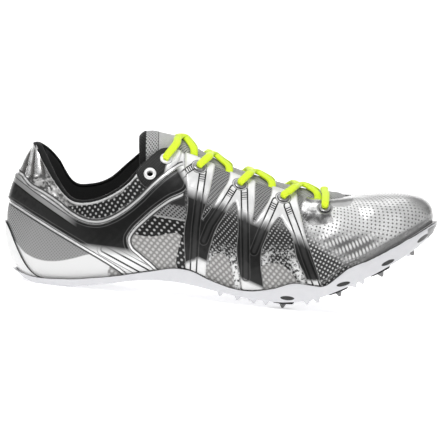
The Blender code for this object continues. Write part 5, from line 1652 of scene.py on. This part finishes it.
def make_lace():
    first, second = lace_half(1), lace_half(-1)
    route = list(reversed(first)) + second[1:]
    at = np.array([tuple(p[0]) for p in route])
    outs = np.array([tuple(p[1]) for p in route])
    shares = np.array([(p[2], p[3]) for p in route])
    for k in range(1, len(outs)):
        if np.dot(outs[k], outs[k - 1]) < 0:
            outs[k:] = -outs[k:]
    knots = np.concatenate([[0], np.cumsum(np.linalg.norm(np.diff(at, axis=0), axis=1))])
    places = np.linspace(0, knots[-1], int(knots[-1] / (0.0009)))
    path = np.stack([spline(knots, at[:, k], places) for k in range(3)], axis=-1)
    kernel = np.ones(5) / 5
    path[2:-2] = np.stack([np.convolve(path[:, k], kernel, mode="valid") for k in range(3)], axis=-1)
    out = np.stack([np.interp(places, knots, outs[:, k]) for k in range(3)], axis=-1)
    wide = np.interp(places, knots, shares[:, 0]) * LACE_HALF_WIDTH * 1.06
    thick = np.interp(places, knots, shares[:, 1]) * LACE_HALF_THICK
    made = sweep("lace", lace_look(), path, out, wide, thick, sides=16, square=2.3)
    settle(made, "lace", "lace_bar", *["lace_cross_" + c.name for c in CROSSINGS])


def turned(name, place, profile, look, steps=40, sharp=35):
    """A turned piece from radius and height pairs, closed into a ring."""
    steps = steps
    angles = 2 * math.pi * np.arange(steps) / steps
    points, faces, rows = [], [], len(profile)
    for radius, height in profile:
        points += [(radius * math.cos(a), radius * math.sin(a), height) for a in angles]
    for r in range(rows):
        n = (r + 1) % rows
        for i in range(steps):
            j = (i + 1) % steps
            faces.append((r * steps + i, r * steps + j, n * steps + j, n * steps + i))
    matrix = np.array(place)
    points = np.array(points) @ matrix[:3, :3].T + matrix[:3, 3]
    made = make_mesh(name, points, faces, [look], sharp=sharp)
    turned_out(made)
    return made


def make_eyelets():
    bore = EYELET_HOLE - GAP - EYELET_TUBE
    tube = EYELET_HOLE - GAP
    foot = -UPPER_WALL - GAP
    ring = plain_look("grey_eyelet_ring", grey(0.50), grey(0.62), 0.30, 0.4, metal=0.75, Coat_Weight=0.3)
    pale = plain_look("pale_eyelet_ring", grey(0.86), grey(0.95), 0.28, 0.4, metal=0.25, Coat_Weight=0.3)
    for (name, label), (eyelet, place) in FRAMES.items():
        seat, top = eyelet_seat(eyelet), EYELET_FLANGE_WALL
        profile = (
            (bore, foot), (bore, seat + 0.45 * top), (bore + 0.10 * MM, seat + 0.85 * top),
            (bore + 0.35 * MM, seat + top), (bore + 0.75 * MM, seat + 0.98 * top),
            (EYELET_FLANGE - 0.55 * MM, seat + 0.62 * top), (EYELET_FLANGE - 0.12 * MM, seat + 0.34 * top),
            (EYELET_FLANGE, seat + 0.15 * top), (EYELET_FLANGE - 0.06 * MM, seat), (tube, seat), (tube, foot),
        )
        pale_one = name in ("1", "spare")
        made = turned("eyelet_ring_" + label + "_" + name, place, profile, pale if pale_one else ring)
        settle(made, "eyelet_top" if pale_one else "eyelet", "eyelet_" + label + "_" + name)


def make_sole():
    steps = 170
    u = ring_places(steps)
    foot = wall(u, np.zeros_like(u))
    thick = lip_wall(u)
    top = wall_at_height(u, kick_height(u))
    rings = [on_field(level_out(foot, u, -EDGE_INSET), midsole_base)]
    rings.append(on_field(level_out(foot, u, GAP + thick), midsole_base))
    for share in (0.15, 0.3, 0.46, 0.62, 0.8, 0.93, 0.985):
        rings.append(beside_face(u, top * share, GAP + thick + (LIP_WALL - thick) * share))
    rings.append(beside_face(u, top, 1.2 * GAP + 0.55 * LIP_WALL))
    for share in (0.985, 0.8, 0.62, 0.3):
        rings.append(beside_face(u, top * share, 1.3 * GAP))
    rings.append(on_field(level_out(foot, u, GAP), ledge_height))
    inside = -UPPER_WALL - GAP
    rings.append(on_field(level_out(foot, u, inside), ledge_height))
    rings.append(on_field(level_out(foot, u, inside), footbed))
    points = np.concatenate(rings)
    lip = np.tile(kick_height(u), len(rings))
    made = ring_solid("midsole_foam", rings, [foam_look()], {
        "rise": (points[:, 2] - lip) / MM, "side_x": points[:, 0] / MM,
    })
    settle(made, "midsole", "midsole")

    inner = 2.6 * GAP + thick
    outer = inner + RIM_WALL
    rim = rim_height(u)
    rings = [on_field(level_out(foot, u, -EDGE_INSET), underside)]
    rings.append(on_field(level_out(foot, u, outer - EDGE_ROUND), underside))
    for angle in (30, 60):
        a = math.radians(angle)
        away = outer - EDGE_ROUND + (EDGE_ROUND - RIM_ROUND) * math.sin(a)
        rings.append(on_field(level_out(foot, u, away), underside, EDGE_ROUND * (1 - math.cos(a))))
    rings.append(on_field(level_out(foot, u, outer - RIM_ROUND), underside, EDGE_ROUND))
    rim_t = wall_at_height(u, rim - RIM_ROUND)
    for share in (0.35, 0.7, 1.0):
        rings.append(beside_face(u, rim_t * share, outer))
    rings.append(beside_face(u, wall_at_height(u, rim - 0.3 * RIM_ROUND), outer - 0.3 * RIM_ROUND))
    rings.append(beside_face(u, wall_at_height(u, rim), outer - RIM_ROUND))
    rings.append(beside_face(u, wall_at_height(u, rim), inner))
    rings.append(on_field(level_out(foot, u, inner), outsole_floor))
    made = ring_solid("outsole_plate", rings, [outsole_look()])
    lugs = make_lugs()
    unite(made, lugs)
    rise_field(made)
    settle(made, "outsole", "outsole")


def rise_field(piece):
    """Stores each point's height above the rim's top, in millimetres."""
    mesh = piece.data
    places = np.zeros(len(mesh.vertices) * 3)
    mesh.vertices.foreach_get("co", places)
    back = np.array(STAND.inverted())
    level = places.reshape(-1, 3) @ back[:3, :3].T + back[:3, 3]
    ring_u = np.linspace(0, 2, 900, endpoint=False)
    ring = wall(ring_u, np.zeros_like(ring_u))
    nearest = np.array([
        np.argmin((ring[:, 0] - p[0]) ** 2 + (ring[:, 1] - p[1]) ** 2) for p in level
    ])
    value = (level[:, 2] - rim_height(ring_u[nearest])) / MM
    for name, values in (("rise", value), ("side_x", level[:, 0] / MM), ("side_z", level[:, 2] / MM)):
        made = mesh.attributes.new(name, "FLOAT", "POINT")
        made.data.foreach_set("value", values.astype(np.float32))
    mesh.shade_smooth()
    mesh.set_sharp_from_angle(angle=math.radians(35))


def bevel(shaped, made, offset):
    edges = {e for v in made["verts"] for e in v.link_edges}
    bmesh.ops.bevel(shaped, geom=list(edges), offset=offset, segments=2, affect="EDGES")


def make_lugs():
    shaped = bmesh.new()
    sunk = 0.5 * OUTSOLE_WALL
    half = LUG_WIDTH / math.sqrt(2)
    for share, inset in [(s, LUG_EDGE) for s in EDGE_LUGS] + [(s, INNER_LUG_INSET) for s in INNER_LUGS]:
        for side in (1, -1):
            u = np.array([along_at(share * LENGTH, side)])
            x, y = (float(v) for v in level_out(wall(u, [0.0]), u, -inset)[0][:2])
            if not clear_of_spikes(x, y):
                continue
            turn = Matrix.Rotation(math.pi - slope_angle(x), 4, "Y") @ Matrix.Rotation(math.pi / 4, 4, "Z")
            place = Matrix.Translation((x, y, float(sole_bottom(x)))) @ turn
            place = STAND @ place @ Matrix.Translation((0, 0, (LUG_HEIGHT - sunk) / 2))
            made = bmesh.ops.create_cone(
                shaped, cap_ends=True, segments=4, radius1=half, radius2=LUG_TIP * half,
                depth=LUG_HEIGHT + sunk, matrix=place,
            )
            bevel(shaped, made, LUG_BEVEL)
    for k in range(int((RIB_LAST - RIB_FIRST) / RIB_PITCH) + 1):
        x = RIB_FIRST + k * RIB_PITCH
        size = Matrix.Diagonal((RIB_WIDTH, 2 * RIB_HALF_LENGTH, RIB_HEIGHT + sunk, 1))
        place = STAND @ Matrix.Translation((x, 0, float(sole_bottom(x)) + (sunk - RIB_HEIGHT) / 2)) @ size
        made = bmesh.ops.create_cube(shaped, size=1, matrix=place)
        bevel(shaped, made, RIB_BEVEL)
    mesh = bpy.data.meshes.new("lugs")
    bmesh.ops.recalc_face_normals(shaped, faces=shaped.faces)
    shaped.to_mesh(mesh)
    shaped.free()
    return placed("lugs", mesh)


def clear_of_spikes(x, y):
    long, wide = PAD_LENGTH / 2 + 0.8 * LUG_WIDTH, PAD_WIDTH / 2 + 0.8 * LUG_WIDTH
    return all(math.hypot((x - sx * LENGTH) / long, (y - sy * BALL_WIDTH) / wide) > 1 for _, sx, sy in SPIKES)


def make_insole():
    u = ring_places(140)
    edge = level_out(wall(u, np.zeros_like(u)), u, -UPPER_WALL - 3 * GAP)
    rings = [on_field(edge, footbed, GAP), on_field(edge, footbed, GAP + 0.6 * INSOLE_WALL)]
    for share, high in ((0.12, 0.82), (0.4, 1.0), (4.0, 1.0)):
        rings.append(on_field(level_out(edge, u, -share * INSOLE_WALL), footbed, GAP + high * INSOLE_WALL))
    p = Paint("dark_insole_cloth")
    weave = p.noise(1.6, 2.0, vector=p.space((700.0, 1500.0, 700.0)))
    p.bump(weave, 0.2, 0.7)
    look = p.finish(p.mix(grey(0.09), grey(0.19), weave), 0.85, Sheen_Weight=0.3, Sheen_Roughness=0.5)
    made = ring_solid("insole_cloth", rings, [look])
    settle(made, "insole", "insole")


def make_spikes():
    steel = plain_look("brushed_spike_steel", grey(0.38), grey(0.55), 0.25, 0.9, metal=1.0)
    rubber = plain_look("black_spike_pad", grey(0.03), grey(0.08), 0.45, 1.2, Specular_IOR_Level=0.3)
    start = SPIKE_DEPTH - SPIKE_LENGTH - SPIKE_FLANGE
    base = start + SPIKE_FLANGE
    profile = [
        (0.0002, start), (SPIKE_FLANGE_RADIUS, start), (SPIKE_FLANGE_RADIUS, start + 0.5 * SPIKE_FLANGE),
        (SPIKE_FLANGE_RADIUS - 0.0002, start + 0.7 * SPIKE_FLANGE), (SPIKE_RADIUS + 0.0004, base),
        (SPIKE_RADIUS, base + 0.0002), (SPIKE_RADIUS * 0.78, base + 0.35 * SPIKE_LENGTH),
        (SPIKE_RADIUS * 0.55, base + 0.7 * SPIKE_LENGTH), (SPIKE_TIP_RADIUS, SPIKE_DEPTH - 0.0003),
        (SPIKE_TIP_RADIUS * 0.75, SPIKE_DEPTH - 0.00005), (0.0002, SPIKE_DEPTH),
    ]
    for k, (name, x_share, y_share) in enumerate(SPIKES):
        x, y = x_share * LENGTH, y_share * BALL_WIDTH
        slope = STANCE if k < REAR_SPIKES else slope_angle(x)
        down = Vector((math.sin(slope), 0, -math.cos(slope)))
        along = Vector((math.cos(slope), 0, math.sin(slope)))
        place = frame_matrix(Vector((x, y, float(sole_bottom(x)))), along, down)
        made = turned("spike_cone_" + name, place, profile, steel, steps=28, sharp=30)
        settle(made, "spike", "spike_" + name)
        oval = place @ Matrix.Diagonal((PAD_LENGTH / 2, PAD_WIDTH / 2, 1, 1))
        low, high = PAD_GAP, PAD_GAP + PAD_WALL + 0.9 * SPIKE_FLANGE
        pad = [
            (0.02, low), (0.98, low), (1.0, low + 0.3 * PAD_WALL), (0.97, low + 0.8 * PAD_WALL),
            (0.90, high - 0.2 * PAD_WALL), (0.84, high), (0.02, high),
        ]
        made = turned("pad_" + name, oval, pad, rubber, steps=40, sharp=30)
        settle(made, "spike_pad", "spike_pad_" + name)


# Camera, light and floor
def make_camera():
    """Level with the last, a little above, and from the lateral side, with a long lens."""
    width, away, tilt = PICTURE_PIXELS * PIXEL, CAMERA_AWAY, math.radians(CAMERA_TILT)
    target = Vector((142.5 * MM, -30.4 * MM, 43.5 * MM))
    back = Vector((0, -math.cos(tilt), math.sin(tilt)))
    right = Vector((1, 0, 0))
    level = Matrix((right, back.cross(right), back)).transposed().to_4x4()
    camera = bpy.data.cameras.new("camera")
    camera.sensor_width = 36
    camera.lens = 36 * away / width
    camera.clip_end = 50
    made = bpy.data.objects.new("camera", camera)
    made.matrix_world = STAND @ Matrix.Translation(target + back * away) @ level
    bpy.context.scene.collection.objects.link(made)
    bpy.context.scene.camera = made


def area(name, at, target, size, power):
    light = bpy.data.lights.new(name, "AREA")
    light.shape = "RECTANGLE"
    light.size, light.size_y = size
    light.energy = power
    made = bpy.data.objects.new(name, light)
    made.location = at
    made.rotation_euler = (Vector(target) - Vector(at)).to_track_quat("-Z", "Y").to_euler()
    bpy.context.scene.collection.objects.link(made)


def make_stage():
    bpy.context.scene.view_settings.view_transform = "Standard"
    world = bpy.data.worlds.new("studio")
    bpy.context.scene.world = world
    world.use_nodes = True
    tree = world.node_tree
    where = tree.nodes.new("ShaderNodeTexCoord")
    parts = tree.nodes.new("ShaderNodeSeparateXYZ")
    tree.links.new(where.outputs["Generated"], parts.inputs[0])
    ramp = tree.nodes.new("ShaderNodeValToRGB")
    ramp.color_ramp.interpolation = "EASE"
    ramp.color_ramp.elements[0].position, ramp.color_ramp.elements[0].color = 0.12, (0.05, 0.05, 0.05, 1)
    ramp.color_ramp.elements[1].position, ramp.color_ramp.elements[1].color = 0.62, (1, 1, 1, 1)
    tree.links.new(parts.outputs["Z"], ramp.inputs[0])
    tree.links.new(ramp.outputs[0], tree.nodes["Background"].inputs["Color"])
    tree.nodes["Background"].inputs["Strength"].default_value = 0.50
    low = -0.00015
    rows = [(-5.0, low), (3.2, low), (3.8, 0.05), (4.3, 0.25), (4.6, 0.6), (4.7, 1.2), (4.7, 3.5)]
    points = [(x, y, z) for y, z in rows for x in (-5.0, 5.0)]
    faces = [(2 * i, 2 * i + 1, 2 * i + 3, 2 * i + 2) for i in range(len(rows) - 1)]
    mesh = bpy.data.meshes.new("studio_floor")
    mesh.from_pydata(points, [], faces)
    mesh.shade_smooth()
    p = Paint("white_paper")
    look = p.finish(p.mix((0.93, 0.93, 0.93), (0.96, 0.96, 0.96), p.noise(0.004, 2.0)), 0.9)
    p.shader.inputs["Emission Color"].default_value = (1, 1, 1, 1)
    p.shader.inputs["Emission Strength"].default_value = 0.46
    mesh.materials.append(look)
    floor = placed("studio_floor", mesh)
    area("key", (-0.35, -1.1, 1.5), (0.11, 0, 0.04), (0.8, 0.5), 15)
    area("fill", (1.2, -1.2, 0.7), (0.12, 0, 0.04), (0.9, 0.9), 3)
    area("top", (0.15, 0.25, 1.6), (0.11, 0, 0.0), (1.6, 1.0), 7)
    area("back", (0.1, 2.2, 1.4), (0.1, 4.4, 0.3), (5.0, 0.8), 90)


make_camera()
make_stage()
make_upper()
make_films()
make_bindings()
make_tongue()
make_eyelets()
make_lace()
make_sole()
make_insole()
make_spikes()
